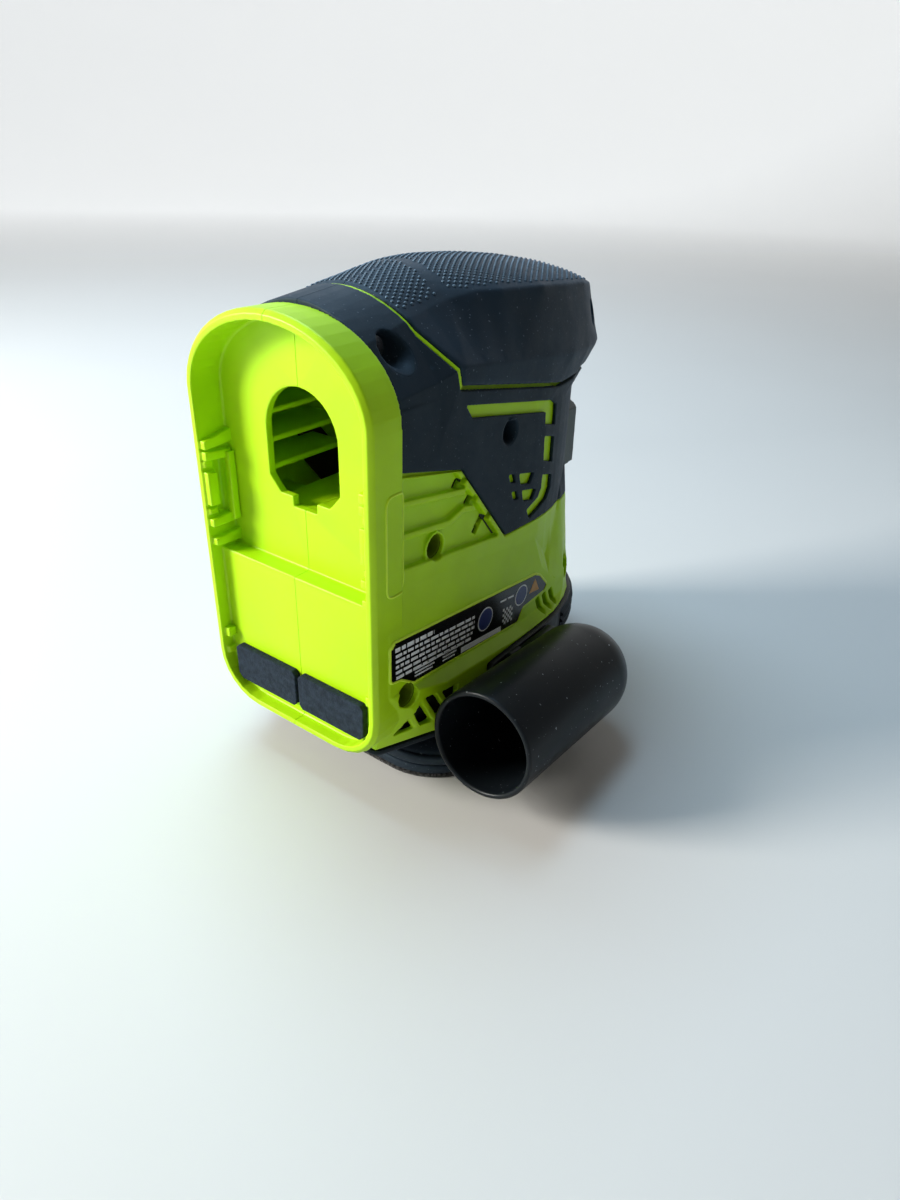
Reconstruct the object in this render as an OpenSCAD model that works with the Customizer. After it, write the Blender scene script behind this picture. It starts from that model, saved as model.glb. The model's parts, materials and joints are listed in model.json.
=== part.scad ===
// Cordless palm orbital sander with an iron-shaped pad.
// Frame: millimetres, +Z up, +Y towards the pad's point, +X to the side of the dust outlet.
// Origin: on the motor's axis, in the pad's working face.

/* [Battery end] */
// Width of the battery end and its rim
rim_w = 76; // [72:1:80]
// Rear face of the rim, behind the motor's axis
rim_y = -90.5; // [-94:0.5:-88]
// Underside of the rim above the working face
rim_base_z = 18; // [17:0.5:20]
// Height at which the straight sides meet the crown
rim_shoulder_z = 131; // [126:1:134]
// Height of the elliptical crown
crown_h = 27.8; // [24:0.2:30]
// Radius of the rim's two lower corners
rim_corner_r = 19; // [14:1:24]
// Wall of the rim
rim_wall = 3.2; // [2.6:0.1:3.6]
// Length of the rim's outside band
rim_band = 13; // [10:0.5:15]
// Depth of the battery recess above its step
recess_depth = 11.3; // [9:0.1:13]
// Depth of the battery recess below its step
ledge_depth = 4.7; // [3.5:0.1:6]
// Height of the step in the recess
step_z = 76; // [70:1:82]

/* [Stem socket] */
// Half width of the opening for the battery stem
stem_r = 15.1; // [14:0.1:16]
// Centre height of the opening's round top
stem_z = 120.6; // [118:0.1:123]
// Lowest height of the opening
stem_low_z = 100.4; // [98:0.1:103]
// Depth of the stem socket behind the recess floor
stem_depth = 50; // [44:1:52]

/* [Body] */
// Width over the soft side covers
body_w = 73.6; // [72:0.2:75]
// Front of the nose
nose_y = 57.5; // [56:0.5:59]
// Where the sides start to round into the nose
nose_start_y = -2; // [-4:0.5:0]
// Thickness of the soft side covers
cover_t = 1.4; // [1.2:0.1:1.8]
// Wall of the clamshell halves
shell_t = 2.8; // [2.4:0.1:3.2]
// Downward slope of the styling lines towards the nose
rake = 10; // [8:1:12]

/* [Grip] */
// Top of the palm grip
grip_top_z = 167; // [164:0.5:168]
// Wall of the palm grip
grip_t = 3; // [2.6:0.1:3.4]

/* [Base] */
// Width of the flared base
base_w = 85; // [83:0.2:86]
// Width across the label bands
label_w = 76.6; // [76.2:0.2:78.4]
// Height of the clamshell's lower edge beside the pad
base_edge_z = 33.6; // [33:0.1:34]
// Front of the base
base_front_y = 66; // [65:0.5:67]

/* [Pad] */
// Length of the sanding pad
pad_len = 140; // [136:1:144]
// Width of the sanding pad
pad_w = 104.4; // [100:0.4:108]
// Radius of the pad's rear corners
pad_corner_r = 26; // [22:1:30]
// Thickness of the hook face
hook_t = 1.4; // [1:0.1:2]
// Thickness of the foam cushion
cushion_t = 3.2; // [2.4:0.1:4]
// Throw of the eccentric, half the orbit's diameter
throw = 0.8; // [0.6:0.1:1]

/* [Dust outlet] */
// Outer radius of the dust tube
tube_r = 19; // [18.5:0.1:19.5]
// Inner radius of the dust tube
tube_bore_r = 17; // [16.5:0.1:17.3]
// Length of the tube from its mouth to the centre of its domed end
tube_len = 63; // [58:1:66]

/* [Motor] */
// Outer radius of the motor can
can_r = 19; // [18.5:0.1:19.5]
// Height of the can's lower face
can_z = 58; // [57.5:0.5:59]
// Length of the can
can_len = 44; // [42:0.5:45]
// Radius of the motor shaft
shaft_r = 2.5; // [2.4:0.1:2.6]
// Radius of the cooling fan
fan_r = 25; // [22:0.5:25.5]

/* [Switch] */
// Half width of the rocker paddle
rocker_half_w = 26; // [22:1:28]
// Middle height of the rocker paddle
rocker_z = 96.5; // [95:0.5:98]
// Height of the rocker paddle
rocker_h = 23; // [20:0.5:24]
// How far the paddle stands out of the nose
rocker_proud = 4; // [3:0.2:4.5]

/* [Hidden] */
$fn = 64;

lime = [0.62, 0.85, 0.12];
soft_black = [0.13, 0.17, 0.22];
satin_black = [0.09, 0.10, 0.12];
foam_grey = [0.20, 0.25, 0.30];
switch_grey = [0.40, 0.43, 0.43];
steel = [0.70, 0.71, 0.73];
copper = [0.76, 0.44, 0.20];

far = 400;                       // longer than anything in the part
shell_fn = 20;                   // sides of round details in the moulded shells
slip = 0.3;                      // gap between pieces that touch at curved faces
seam_gap = 0.1;                  // gap at the clamshell's parting line
tuck = 0.2;                      // how far a form's hidden edge lies inside its neighbour
rim_half = rim_w / 2;
body_half = body_w / 2;
lime_half = body_half - cover_t;
base_half = base_w / 2;
label_half = label_w / 2;
band_y = rim_y + rim_band;
recess_floor_y = rim_y + recess_depth;
socket_back_y = recess_floor_y + stem_depth;
cushion_z = hook_t + cushion_t;
platen_top_z = 9;

// ---- Helpers -------------------------------------------------------------

// Radius of a coarse round cut whose flats clear a circle of radius r
function around(r) = r / cos(180 / shell_fn);

// Extrudes an outline drawn in X and Z from y0 to y1
module along_y(y0, y1) {
    translate([0, y1, 0]) rotate([90, 0, 0]) linear_extrude(y1 - y0) children();
}

// Extrudes an outline drawn in Y and Z from x0 to x1
module along_x(x0, x1) {
    translate([x0, 0, 0]) rotate([90, 0, 90]) linear_extrude(x1 - x0) children();
}

// Extrudes a plan outline from z0 to z1
module along_z(z0, z1) {
    translate([0, 0, z0]) linear_extrude(z1 - z0) children();
}

// A rod along X from x0 to x1 at a given place in Y and Z
module rod_x(r, x0, x1, y, z) {
    translate([x0, y, z]) rotate([0, 90, 0]) cylinder(h = x1 - x0, r = r);
}

// A ring about a vertical axis
module ring(r_in, r_out, z0, z1) {
    difference() {
        translate([0, 0, z0]) cylinder(h = z1 - z0, r = r_out);
        translate([0, 0, z0 - 1]) cylinder(h = z1 - z0 + 2, r = r_in);
    }
}

// Keeps the children on one side of the parting plane, 1 for right, -1 for left
module half(side) {
    intersection() {
        children();
        translate([side > 0 ? seam_gap / 2 : -far - seam_gap / 2, -far / 2, -far / 2])
            cube(far);
    }
}

// Right-hand geometry, mirrored when side is -1
module handed(side) {
    if (side > 0) children();
    else mirror([1, 0, 0]) children();
}

function arc(cx, cy, rx, ry, a0, a1, n) =
    [for (i = [0 : n]) let (a = a0 + (a1 - a0) * i / n) [cx + rx * cos(a), cy + ry * sin(a)]];

function mirrored(pts) =
    concat(pts, [for (i = [len(pts) - 1 : -1 : 0]) [-pts[i][0], pts[i][1]]]);

// ---- Outer forms -----------------------------------------------------------

// Outline of the battery end in X and Z, drawn in by d
module rim_outline(d) {
    w = rim_half - d;
    r = rim_corner_r - d;
    polygon(mirrored(concat(
        arc(w - r, rim_base_z + d + r, r, r, -90, 0, 6),
        arc(0, rim_shoulder_z, w, crown_h - d, 0, 86, 12))));
}

// Half width of the body's plan at a station y, drawn in by d
function body_x(y, d) =
    y <= nose_start_y ? body_half - d :
    y >= nose_y - d ? 0 :
    (body_half - d) * sqrt(1 - pow((y - nose_start_y) / (nose_y - d - nose_start_y), 2));

// Plan of the body from y0 to the nose, drawn in by d
module body_plan(y0, d) {
    polygon(mirrored(concat(
        [[body_half - d, y0]],
        arc(0, nose_start_y, body_half - d, nose_y - d - nose_start_y, 0, 88, 14))));
}

// Heights and half widths of the upper form along Y: the collar, then the palm grip
function top_z(y) = lookup(y, [[-78, 160], [-60, 162.2], [-50, 164], [-36, grip_top_z - 0.6],
    [-20, grip_top_z], [-4, grip_top_z - 0.4], [30, 163.2], [57, 157.6], [70, 152.5], [77, 143]]);
function crease_z(y) = lookup(y, [[-78, 151], [-60, 154.6], [-48, 156.6], [-38, 158.2],
    [-27, 159.8], [3, 159], [38, 156.3], [60, 153], [72, 148], [77, 140]]);
function crease_x(y) = lookup(y, [[-78, 25], [-60, 24], [-48, 22.6], [-38, 23], [-27, 25.6],
    [-17, 29], [3, 32], [20, 30.8], [38, 28], [56, 21.5], [68, 13.5], [77, 4]]);
function flank_z(y) = lookup(y, [[-78, 138], [-60, 140], [-48, 142.6], [0, 137.3],
    [26, 134.8], [52, 132.6], [77, 131]]);
function flank_x(y) = lookup(y, [[-78, 36.4], [-60, 36.8], [-46, 38], [0, 38.2],
    [20, 36.6], [40, 32.6], [55, 28], [66, 21.6], [73, 14], [77, 5]]);
function under_z(y) = lookup(y, [[-78, 118], [30, 118], [nose_y, 118.5], [77, 130]]);

// One cross-section of the upper form, drawn in by d, as points round the loop
function upper_section(y, d, ys) =
    let (u = min(max(y, -78), 77),
         cx = max(crease_x(u) - d, 0.6), cz = crease_z(u) - d,
         fx = max(flank_x(u) - d, 1), fz = min(flank_z(u), cz - 2),
         bx = max(min(body_x(u, d), fx) - tuck, 0.4), bz = under_z(u) + (u > nose_y - 10 ? d : 0),
         rise = top_z(u) - d - cz,
         right = concat([[bx, bz], [fx, fz]],
             [for (i = [0 : 5]) let (f = 1 - i / 6) [cx * f, cz + rise * (1 - f * f)]]))
    [for (p = concat(right, [[0, cz + rise]],
         [for (i = [len(right) - 1 : -1 : 0]) [-right[i][0], right[i][1]]])) [p[0], ys, p[1]]];

// Closes the surface between two loops of equal length, the second further along +Y
module skin(loops) {
    n = len(loops[0]);
    m = len(loops);
    pts = [for (loop = loops) for (p = loop) p];
    polyhedron(points = pts, faces = concat(
        [[for (i = [n - 1 : -1 : 0]) i]],
        [for (j = [0 : m - 2]) for (i = [0 : n - 1]) for (t = [0, 1])
            let (a = j * n + i, b = j * n + (i + 1) % n)
            t == 0 ? [a, b, a + n] : [b, b + n, a + n]],
        [[for (i = [0 : n - 1]) (m - 1) * n + i]]));
}

// Joins a row of convex loops that run towards +Y
module loft(loops) {
    for (j = [0 : len(loops) - 2]) hull() skin([loops[j], loops[j + 1]]);
}

// Collar and palm grip as one form, from y0 to the front, drawn in by d
module upper_form(y0, d) {
    stations = concat([y0], [for (y = [-60, -48, -38, -27, -17, 3, 20, 38, 50, 60, 68, 74])
        if (y > y0 + 2) y]);
    loft(concat([for (y = stations) upper_section(y, d, y)],
        [upper_section(77, d, 77 - d)]));
}

// Flared base of the clamshell: top of its slope, then top and bottom of its label band
function flare_z(y) = lookup(y, [[-84, 84.5], [2, 71], [14, 58], [20, 66], [28, 84], [36, 92],
    [46, 88], [54, 76], [61, 56], [base_front_y, 42.6]]);
function band_z(y) = lookup(y, [[-84, 66], [8, 55], [17, 46.5], [30, 44], [61, 43],
    [base_front_y, 41]]);
function ledge_z(y) = lookup(y, [[-84, 44.6], [-8, 36.6], [63, 36.6]]);
function base_x(y) = lookup(y, [[-84, 31.7], [-58.8, base_half], [4, base_half], [14, 42],
    [26, 39.6], [36, 35.8], [46, 29.5], [54, 22], [61, 13], [base_front_y, 5]]);
BASE_STATIONS = [-58.8, -8, 2, 8, 14, 20, 28, 36, 46, 54, 61];
base_bend_y = 14;

// A station moved back in step with the front of the base when it is drawn in by d
function base_y(y, d) = y < base_bend_y ? y :
    base_bend_y + (y - base_bend_y) * (base_front_y - d - base_bend_y) / (base_front_y - base_bend_y);

module base_plan(d) {
    offset(delta = -d) polygon(mirrored([for (y = concat([-84], BASE_STATIONS, [base_front_y]))
        [base_x(y), y]]));
}

// Half widths and heights of one section of the base: foot, label band, top of the slope
function base_points(y, d) =
    let (bx = max(base_x(y) - d, 1.6),
         lx = max(min(label_half - d, bx - (y > 0 ? 1 : -9)), 1.3), lz = ledge_z(y) - d / 3,
         tx = max(min(body_x(base_y(y, d), d) - tuck, lx - 0.3), 1), tz = flare_z(y) - d / 3)
    [[bx, lz - 2.8], [lx, lz], [lx - 0.05, band_z(y) - d / 3], [tx, tz]];

// Flared base as a form, drawn in by d, from z0 up to its upper crease
module base_form(d, z0) {
    stations = concat([-84], BASE_STATIONS, [base_front_y]);
    places = [for (y = stations) y == -84 ? y + d : base_y(y, d)];
    sections = [for (y = stations) base_points(y, d)];
    loft([for (i = [0 : len(places) - 1]) let (p = sections[i], y = places[i])
        [[-p[0][0], y, z0], [p[0][0], y, z0], [p[0][0], y, p[0][1]], [p[1][0], y, p[1][1]],
         [-p[1][0], y, p[1][1]], [-p[0][0], y, p[0][1]]]]);
    for (k = [1, 2]) loft([for (i = [0 : len(places) - 1]) let (p = sections[i], y = places[i])
        [[-p[k][0], y, p[k][1]], [p[k][0], y, p[k][1]], [p[k + 1][0], y, p[k + 1][1]],
         [-p[k + 1][0], y, p[k + 1][1]]]]);
}

// Side view of the line between the soft covers and the palm grip
function groove_line() = [[-62, 175], [-60.5, 163.5], [-58.5, 151], [-51.5, 141], [-50, 135.6]];
function neck_z(y) = 135.6 - tan(rake) * (y + 50);

// Side view of the region held by the soft covers
module cover_region(y0) {
    polygon(concat(groove_line(), [[12, neck_z(12)], [70, neck_z(12)], [70, 75.5], [18, 76.5],
        [-18.5, 78], [-46.5, 110.3], [y0, 117.8], [y0, 175]]));
}

// Side view of the palm grip's region
module grip_region(gap) {
    translate([gap, gap]) polygon(concat(groove_line(),
        [[12, neck_z(12)], [90, neck_z(12)], [90, 175]]));
}

// ---- Clamshell halves ------------------------------------------------------

// Seat of each housing screw: Y, Z, and the depth of its head from the parting plane
SCREWS = [[-68.6, 148.2, 18], [-19.8, 116, 26], [-58, 87.5, 24], [-76, 41.5, 22],
    [54, 143.5, 10], [32.5, 44.2, 22.4]];
boss_r = 5.25;
screw_r = 1.9;
screw_bore_r = 2.05;
head_r = 3.6;
grip_gap = 1.3;                  // groove between the soft covers and the palm grip, along Y
bead_side = 0.15;                // gap on each side of the bright strip in the groove
bead_sink = 0.4;                 // how far the strip lies below the covers' surface
recess_x = body_half - 2.6;
cavity_d = cover_t + shell_t;
under_grip = grip_t + slip;
latch_sink = 1.2;                // depth of the latch pocket in the rim's wall
latch_proud = 1.3;               // how far its frame stands out of that wall
rim_chamfer = 1.4;               // bevel round the rim's rear edge

// Side view of the clamshell below the soft covers
module bare_region() {
    polygon([[-85, 19], [far / 4, 19], [far / 4, 75.2], [18, 76.2], [-18.8, 77.6],
        [-46.8, 109.9], [-85, 118]]);
}

// Side view of the body below the line of the grip
module neck_region(drop) {
    polygon([[band_y - 2, 20], [far / 4, 20], [far / 4, neck_z(12) - drop],
        [12, neck_z(12) - drop], [-50, neck_z(-50) - drop], [band_y - 2, neck_z(-50) - drop]]);
}

// Opening for the battery's stem, drawn in X and Z
module stem_outline(d) {
    r = stem_r + d;
    polygon(mirrored(concat(
        [[10.6 + d, stem_low_z - d], [r, stem_low_z + 5]],
        arc(0, stem_z, r, r, 0, 86, 8))));
}

module solid_body() {
    hull() {
        along_y(rim_y, rim_y + 0.1) rim_outline(rim_chamfer);
        along_y(rim_y + rim_chamfer, band_y) rim_outline(0);
    }
    intersection() {
        union() {
            along_z(40, 132) body_plan(band_y - 1, 0);
            base_form(0, 20);
        }
        along_x(-far, far) bare_region();
    }
    intersection() {
        along_z(40, 140) body_plan(band_y - 1, cover_t);
        along_x(-far, far) neck_region(0.6);
    }
    upper_form(band_y - 0.5, under_grip);
    base_form(cover_t, 20.1);
}

module inner_space() {
    back = recess_floor_y + 2.6;
    intersection() {
        along_z(46, 140) body_plan(back, cavity_d);
        along_x(-far, far) neck_region(4);
    }
    intersection() {
        upper_form(band_y, under_grip + shell_t);
        translate([-far / 2, back + tuck, 100]) cube(far);
    }
    difference() {
        base_form(shell_t, 10);
        // keeps the recess floor and its step
        translate([-far / 2, back + 0.4 - far, step_z - shell_t]) cube(far);
    }
}

// Battery recess, deeper above its step
module battery_recess() {
    intersection() {
        along_y(rim_y - 1, recess_floor_y) rim_outline(rim_wall);
        translate([-far / 2, -far / 2, step_z]) cube(far);
    }
    along_y(rim_y - 1, rim_y + ledge_depth) rim_outline(rim_wall);
    along_y(rim_y - 1, socket_back_y) stem_outline(0);
    along_y(rim_y - 1, band_y + 1) translate([-5.2, stem_low_z - 3.4]) square([10.4, 6]);
}

// Pocket in the rim's side wall that catches the battery's latch
module latch_cut() {
    along_x(rim_half - rim_wall - 1, rim_half - rim_wall + latch_sink)
        polygon([[-85.6, 88.5], [-82.2, 88.5], [-82.2, 107.8], [-85.6, 107.8]]);
}

// Frame and guide ribs round the latch pocket, and two nubs lower down
module latch_ribs() {
    along_x(rim_half - rim_wall - latch_proud, rim_half - rim_wall + 1) {
        polygon([[-89.8, 112.2], [-89.8, 114.2], [-78.8, 116.4], [-78.8, 112.2]]);
        polygon([[-89.4, 78.8], [-89.4, 80.8], [-78.8, 81.8], [-78.8, 77.4]]);
        polygon([[-89.8, 108.6], [-89.8, 111], [-79.6, 110], [-79.6, 107.8]]);
        polygon([[-89.8, 85.6], [-89.8, 87.8], [-79.6, 88.4], [-79.6, 85.2]]);
        polygon([[-82, 86], [-82, 109.6], [-79.4, 109.6], [-79.4, 86]]);
        polygon([[-89.8, 93], [-89.8, 104], [-86, 103.6], [-86, 92.6]]);
        for (z = [89.4, 105.6]) translate([-89.8, z]) square([3.2, 2]);
        for (z = [36, 43.6]) translate([-89, z - 1.4]) square([3, 2.8]);
    }
}

// Plates across the inside that carry the motor and the stem socket
module inner_ribs() {
    for (z = [64, 84])
        intersection() {
            along_z(z, z + 2.4) body_plan(-32, cavity_d - 0.5);
            difference() {
                translate([-far / 2, -far / 2, z - 1]) cube([far, far, 5]);
                translate([0, 0, z - 2]) cylinder(h = 8, r = around(can_r));
                translate([-far / 2, 31, z - 2]) cube([far, far, 8]);
            }
        }
    for (z = [106, 115, 124])
        translate([0, recess_floor_y + 1, z])
            for (x = [-33, 15.6]) translate([x, 0, 0]) cube([17.4, 34, 1.8]);
    translate([-16, recess_floor_y + 1, stem_low_z - 6]) cube([32, 46, 2.4]);
}

// Round bosses for the housing screws, from the parting plane to the wall
module bosses() {
    intersection() {
        union() {
            for (s = SCREWS) rod_x(boss_r, -45, 45, s[0], s[1]);
        }
        union() {
            along_x(-far, far) bare_region();
            along_x(-far, far) neck_region(0.6);
            upper_form(band_y - 0.5, under_grip);
        }
        union() {
            along_z(0, 140) body_plan(band_y - 4, cover_t);
            base_form(1, 20);
            upper_form(band_y - 0.5, under_grip);
        }
    }
}

// Recessed panel with cooling slots on each side
module side_panel_cut() {
    along_x(recess_x, far) polygon([[-75.5, 115.2], [-49.4, 110.1], [-22.6, 79.2],
        [-75.5, 86.6]]);
    // slots beside the slanted frame
    for (s = [[-46.5, 105.2, 6], [-39.6, 97.3, 5], [-31.6, 88, 11]])
        translate([0, s[0], s[1]]) rotate([-41, 0, 0])
            translate([0, -1.4, -s[2] / 2]) cube([far, 2.8, s[2]]);
}

module side_panel_ribs() {
    along_x(recess_x - 1, body_half - 0.5) {
        polygon([[-76, 106.4], [-44.4, 101], [-43.2, 103], [-76, 108.4]]);
        polygon([[-76, 96], [-52, 92.6], [-44, 94.8], [-37.2, 93.4], [-38.8, 95.8],
            [-44, 97], [-52, 94.8], [-76, 98]]);
    }
}

// Triangular louvred window low in the rear corner of the base
module louvre_cut() {
    difference() {
        along_x(20, far) polygon([[-70, 37.5], [-52, 35], [-52, 27], [-79, 24.5]]);
        for (y = [-73, -66, -59])
            translate([0, y, 30]) rotate([28, 0, 0]) translate([0, -1, -20]) cube([far, 2, 40]);
    }
    for (y = [8, 13, 18])
        translate([20, y, 38]) rotate([25, 0, 0]) translate([0, -1.2, -3.5]) cube([far, 2.4, 8]);
}

// Window in the nose for the rocker paddle
module rocker_window(gap) {
    translate([-rocker_half_w - gap, 24, rocker_z - rocker_h / 2 - 2.4 - gap])
        cube([2 * (rocker_half_w + gap), far, rocker_h + 4.8 + 2 * gap]);
}

module screw_bores() {
    for (s = SCREWS) {
        rod_x(screw_bore_r, -12, far, s[0], s[1]);
        rod_x(head_r + 0.7, s[2], far, s[0], s[1]);
    }
}

module housing_half(side) {
    $fn = shell_fn;
    color(lime) half(side) difference() {
        union() {
            difference() {
                solid_body();
                inner_space();
                battery_recess();
                handed(side) latch_cut();
                handed(side) side_panel_cut();
                handed(side) louvre_cut();
                rocker_window(1.2);
                along_x(-far, far) polygon([[-37, 0], [-34, base_edge_z],
                    [far / 4, base_edge_z], [far / 4, 0]]);
            }
            difference() {
                inner_ribs();
                battery_recess();
            }
            difference() {
                bosses();
                battery_recess();
            }
            handed(side) side_panel_ribs();
            handed(side) latch_ribs();
        }
        screw_bores();
        fan_space();
    }
}

// Clear space for the mount plate, the fan and what turns below it
module fan_space() {
    translate([0, 0, 8]) cylinder(h = 45.8, r = around(fan_r + 0.9));
    translate([0, 0, 53.7]) cylinder(h = 4.6, r = around(mount_r + slip / 2));
    for (p = POSTS) translate([p[0], p[1], 10]) cylinder(h = 44, r = post_r + 1);
}

module housing_right() { housing_half(1); }
module housing_left() { housing_half(-1); }

// Thin bright inlay windows in each soft cover
module inlay_windows() {
    along_x(20, far) {
        // long bar with a turned-down front end
        polygon([[-46.4, 130.6], [7, 121], [11.4, 118.6], [12, 110.9], [3.6, 113], [3, 117.6],
            [-42.6, 125.8]]);
        // short upright bar
        polygon([[4, 108.6], [12.2, 106.4], [12.6, 96.6], [4.8, 99.2]]);
        // hook that sweeps down and back
        polygon([[5, 93.8], [13, 91.6], [13.2, 86.4], [10, 82.8], [-2.8, 79.2], [-5, 83.2],
            [2.6, 85.8], [4.8, 88.6]]);
        for (k = [0, 1]) translate([k * 2.6, -k * 7]) {
            polygon([[-19, 100.6], [-15.6, 99.9], [-14, 96.4], [-17.4, 97.2]]);
            polygon([[-12, 99], [-2, 96.8], [-4.4, 93.2], [-10.6, 94.6]]);
        }
    }
}

module cover_form() {
    upper_form(band_y + 0.1, 0);
    intersection() {
        along_z(60, 140) body_plan(band_y + 0.05, 0);
        along_x(-far, far) neck_region(0.5);
    }
    base_form(0, 60);
}

module side_cover(side) {
    $fn = shell_fn;
    color(soft_black) half(side) difference() {
        intersection() {
            cover_form();
            along_x(-far, far) cover_region(band_y);
        }
        upper_form(band_y - 0.5, grip_t);
        intersection() {
            along_z(50, 150) body_plan(band_y - 1, cover_t - 0.02);
            along_x(-far, far) neck_region(0.2);
        }
        base_form(cover_t - 0.02, 50);
        handed(side) inlay_windows();
        rocker_window(0.7);
        for (s = [0, 1]) rod_x(s == 0 ? 5.4 : 4.5, side > 0 ? 15 : -far,
            side > 0 ? far : -15, SCREWS[s][0], SCREWS[s][1]);
    }
}

module side_cover_right() { side_cover(1); }
module side_cover_left() { side_cover(-1); }

module palm_grip(side) {
    $fn = shell_fn;
    color(soft_black) half(side) difference() {
        intersection() {
            upper_form(-66, 0);
            along_x(-far, far) grip_region(grip_gap);
        }
        upper_form(-68, grip_t);
        rod_x(4.5, side > 0 ? 10 : -far, side > 0 ? far : -10, SCREWS[4][0], SCREWS[4][1]);
    }
}

module palm_grip_right() { palm_grip(1); }
module palm_grip_left() { palm_grip(-1); }

// Bright strip that fills the groove between each soft cover and the palm grip
module accent_bead(side) {
    line = groove_line();
    $fn = shell_fn;
    color(lime) half(side) difference() {
        upper_form(-66, bead_sink);
        upper_form(-68, under_grip - 0.05);
        along_x(-far, far) difference() {
            translate([-far / 2, -far / 2]) square(far * 2);
            polygon(concat([for (p = line) [p[0] + bead_side, p[1] + bead_side]],
                [for (i = [len(line) - 1 : -1 : 0]) [line[i][0] + grip_gap - bead_side,
                    line[i][1] + grip_gap - bead_side]]));
        }
    }
}

module accent_bead_right() { accent_bead(1); }
module accent_bead_left() { accent_bead(-1); }

// ---- Battery end, label, switch and wiring ---------------------------------

module battery_pad(side) {
    color(foam_grey) handed(side) along_y(rim_y + 2, rim_y + ledge_depth)
        polygon([[0.6, 27], [2, 25.6], [28.6, 25.6], [30.4, 27.4], [30.4, 38.4],
            [29, 39.8], [2, 39.8], [0.6, 38.4]]);
}

module battery_pad_right() { battery_pad(1); }
module battery_pad_left() { battery_pad(-1); }

module rating_label() {
    color(satin_black) intersection() {
        difference() {
            base_form(-0.45, 20);
            base_form(-0.05, 19);
        }
        along_x(30, 60) polygon([[-83.4, 50.4], [-83.4, 63], [-82.6, 64.2], [3, 53.8], [6, 52.2],
            [12, 46], [10.6, 44.4], [-5.4, 43.4], [-8.6, 38.4], [-72.5, 45.2], [-78.6, 49.6]]);
    }
}

terminal_y = socket_back_y - 6;

module terminal_block() {
    color(satin_black) difference() {
        translate([-14, terminal_y, 97]) cube([28, 5.5, 34]);
        for (x = [-9, 0, 9]) translate([x - 1.2, terminal_y - 1, 104]) cube([2.4, 8, 18]);
    }
}

module terminal_blades() {
    color(steel) for (x = [-9, 0, 9])
        translate([x - 0.4, terminal_y - 15, 105]) cube([0.8, 23, 16]);
}

pivot_y = 40;
pin_r = 1.5;

module switch_carrier() {
    color(satin_black) difference() {
        union() {
            translate([-15, 31.5, rocker_z - 9]) cube([30, 2.5, 18]);
            for (x = [-15, 12.6]) translate([x, 31.5, rocker_z - 5]) cube([2.4, 12, 10]);
        }
        rod_x(pin_r + 0.01, -20, 20, pivot_y, rocker_z);
    }
}

module switch_module() {
    color([0.16, 0.16, 0.17]) {
        translate([-7, 23, rocker_z - 7.5]) cube([14, 8.4, 15]);
        for (z = [-5, 5]) translate([-1.5, 19.8, rocker_z + z - 0.4]) cube([3, 3.3, 0.8]);
    }
}

module switch_pin() {
    color(steel) rod_x(pin_r, -15, 15, pivot_y, rocker_z);
}

// Wide rocker that follows the curve of the nose; its lower end stands out when off
module power_rocker() {
    color(switch_grey)
        translate([0, pivot_y, rocker_z]) rotate([3, 0, 0]) translate([0, -pivot_y, -rocker_z])
            difference() {
                union() {
                    intersection() {
                        difference() {
                            along_z(rocker_z - rocker_h / 2, rocker_z + rocker_h / 2)
                                body_plan(-10, -rocker_proud);
                            along_z(0, 200) body_plan(-20, 2.4);
                        }
                        translate([-rocker_half_w, 24, 0]) cube([2 * rocker_half_w, far, 200]);
                    }
                    for (x = [-11.4, 9]) translate([x, pivot_y - 3.5, rocker_z - 3.5])
                        cube([2.4, 17.5, 7]);
                }
                rod_x(pin_r + 0.06, -20, 20, pivot_y, rocker_z);
                for (k = [-3 : 3])
                    translate([-far / 2, nose_y - 2.2 + rocker_proud + 2, rocker_z + k * 3 - 0.4])
                        cube([far, 6, 0.8]);
            }
}

// One insulated lead along a list of points
module lead(pts, r) {
    for (i = [0 : len(pts) - 2]) hull() {
        translate(pts[i]) sphere(r = r, $fn = 10);
        translate(pts[i + 1]) sphere(r = r, $fn = 10);
    }
}

module lead_wires() {
    color([0.55, 0.08, 0.08]) lead([[-9, -26, 107], [-16, -23, 107], [-25, -6, 107],
        [-25, 14, 107], [-8, 21.5, 104], [-2.7, 21.5, 101.5]], 1);
    color([0.1, 0.1, 0.1]) lead([[9, -26, 107], [15, -22, 107], [20, -8, 107],
        [16, 2, 106.4], [13, 3, 105.5]], 1);
}

// ---- Motor -----------------------------------------------------------------

can_top = can_z + can_len;
mount_r = 33;

module motor_can() {
    color(steel) {
        difference() {
            translate([0, 0, can_z]) cylinder(h = can_len, r = can_r - 0.05);
            translate([0, 0, can_z + 1.6]) cylinder(h = can_len, r = can_r - 1.6);
            translate([0, 0, can_z - 1]) cylinder(h = 4, r = 8);
            for (a = [30 : 60 : 330]) rotate(a) translate([13, 0, can_z - 1])
                cylinder(h = 4, r = 2.2);
            for (a = [0, 180]) rotate(a) translate([15, 0, can_z - 1]) cylinder(h = 4, r = 1.55);
        }
        ring(8.02, 10, can_z - 3.6, can_z);
    }
}

module motor_magnets() {
    color([0.25, 0.25, 0.27]) for (a = [0, 180]) rotate(a) intersection() {
        ring(14.6, can_r - 1.62, can_z + 6, can_top - 8);
        translate([0, 0, can_z]) linear_extrude(can_len) polygon([[0, 0], [22, 26], [22, 60],
            [-22, 60], [-22, 26]]);
    }
}

module motor_end_bell() {
    color([0.85, 0.84, 0.78]) difference() {
        union() {
            ring(7.2, can_r - 0.05, can_top, can_top + 2.4);
            ring(8.02, 10.4, can_top + 2.4, can_top + 6.4);
            ring(7.2, can_r - 1.62, can_top - 3, can_top);
        }
        for (a = [0, 180]) rotate(a) translate([6, -2.9, can_top - 4]) cube([9, 5.8, 3.9]);
    }
}

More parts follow.
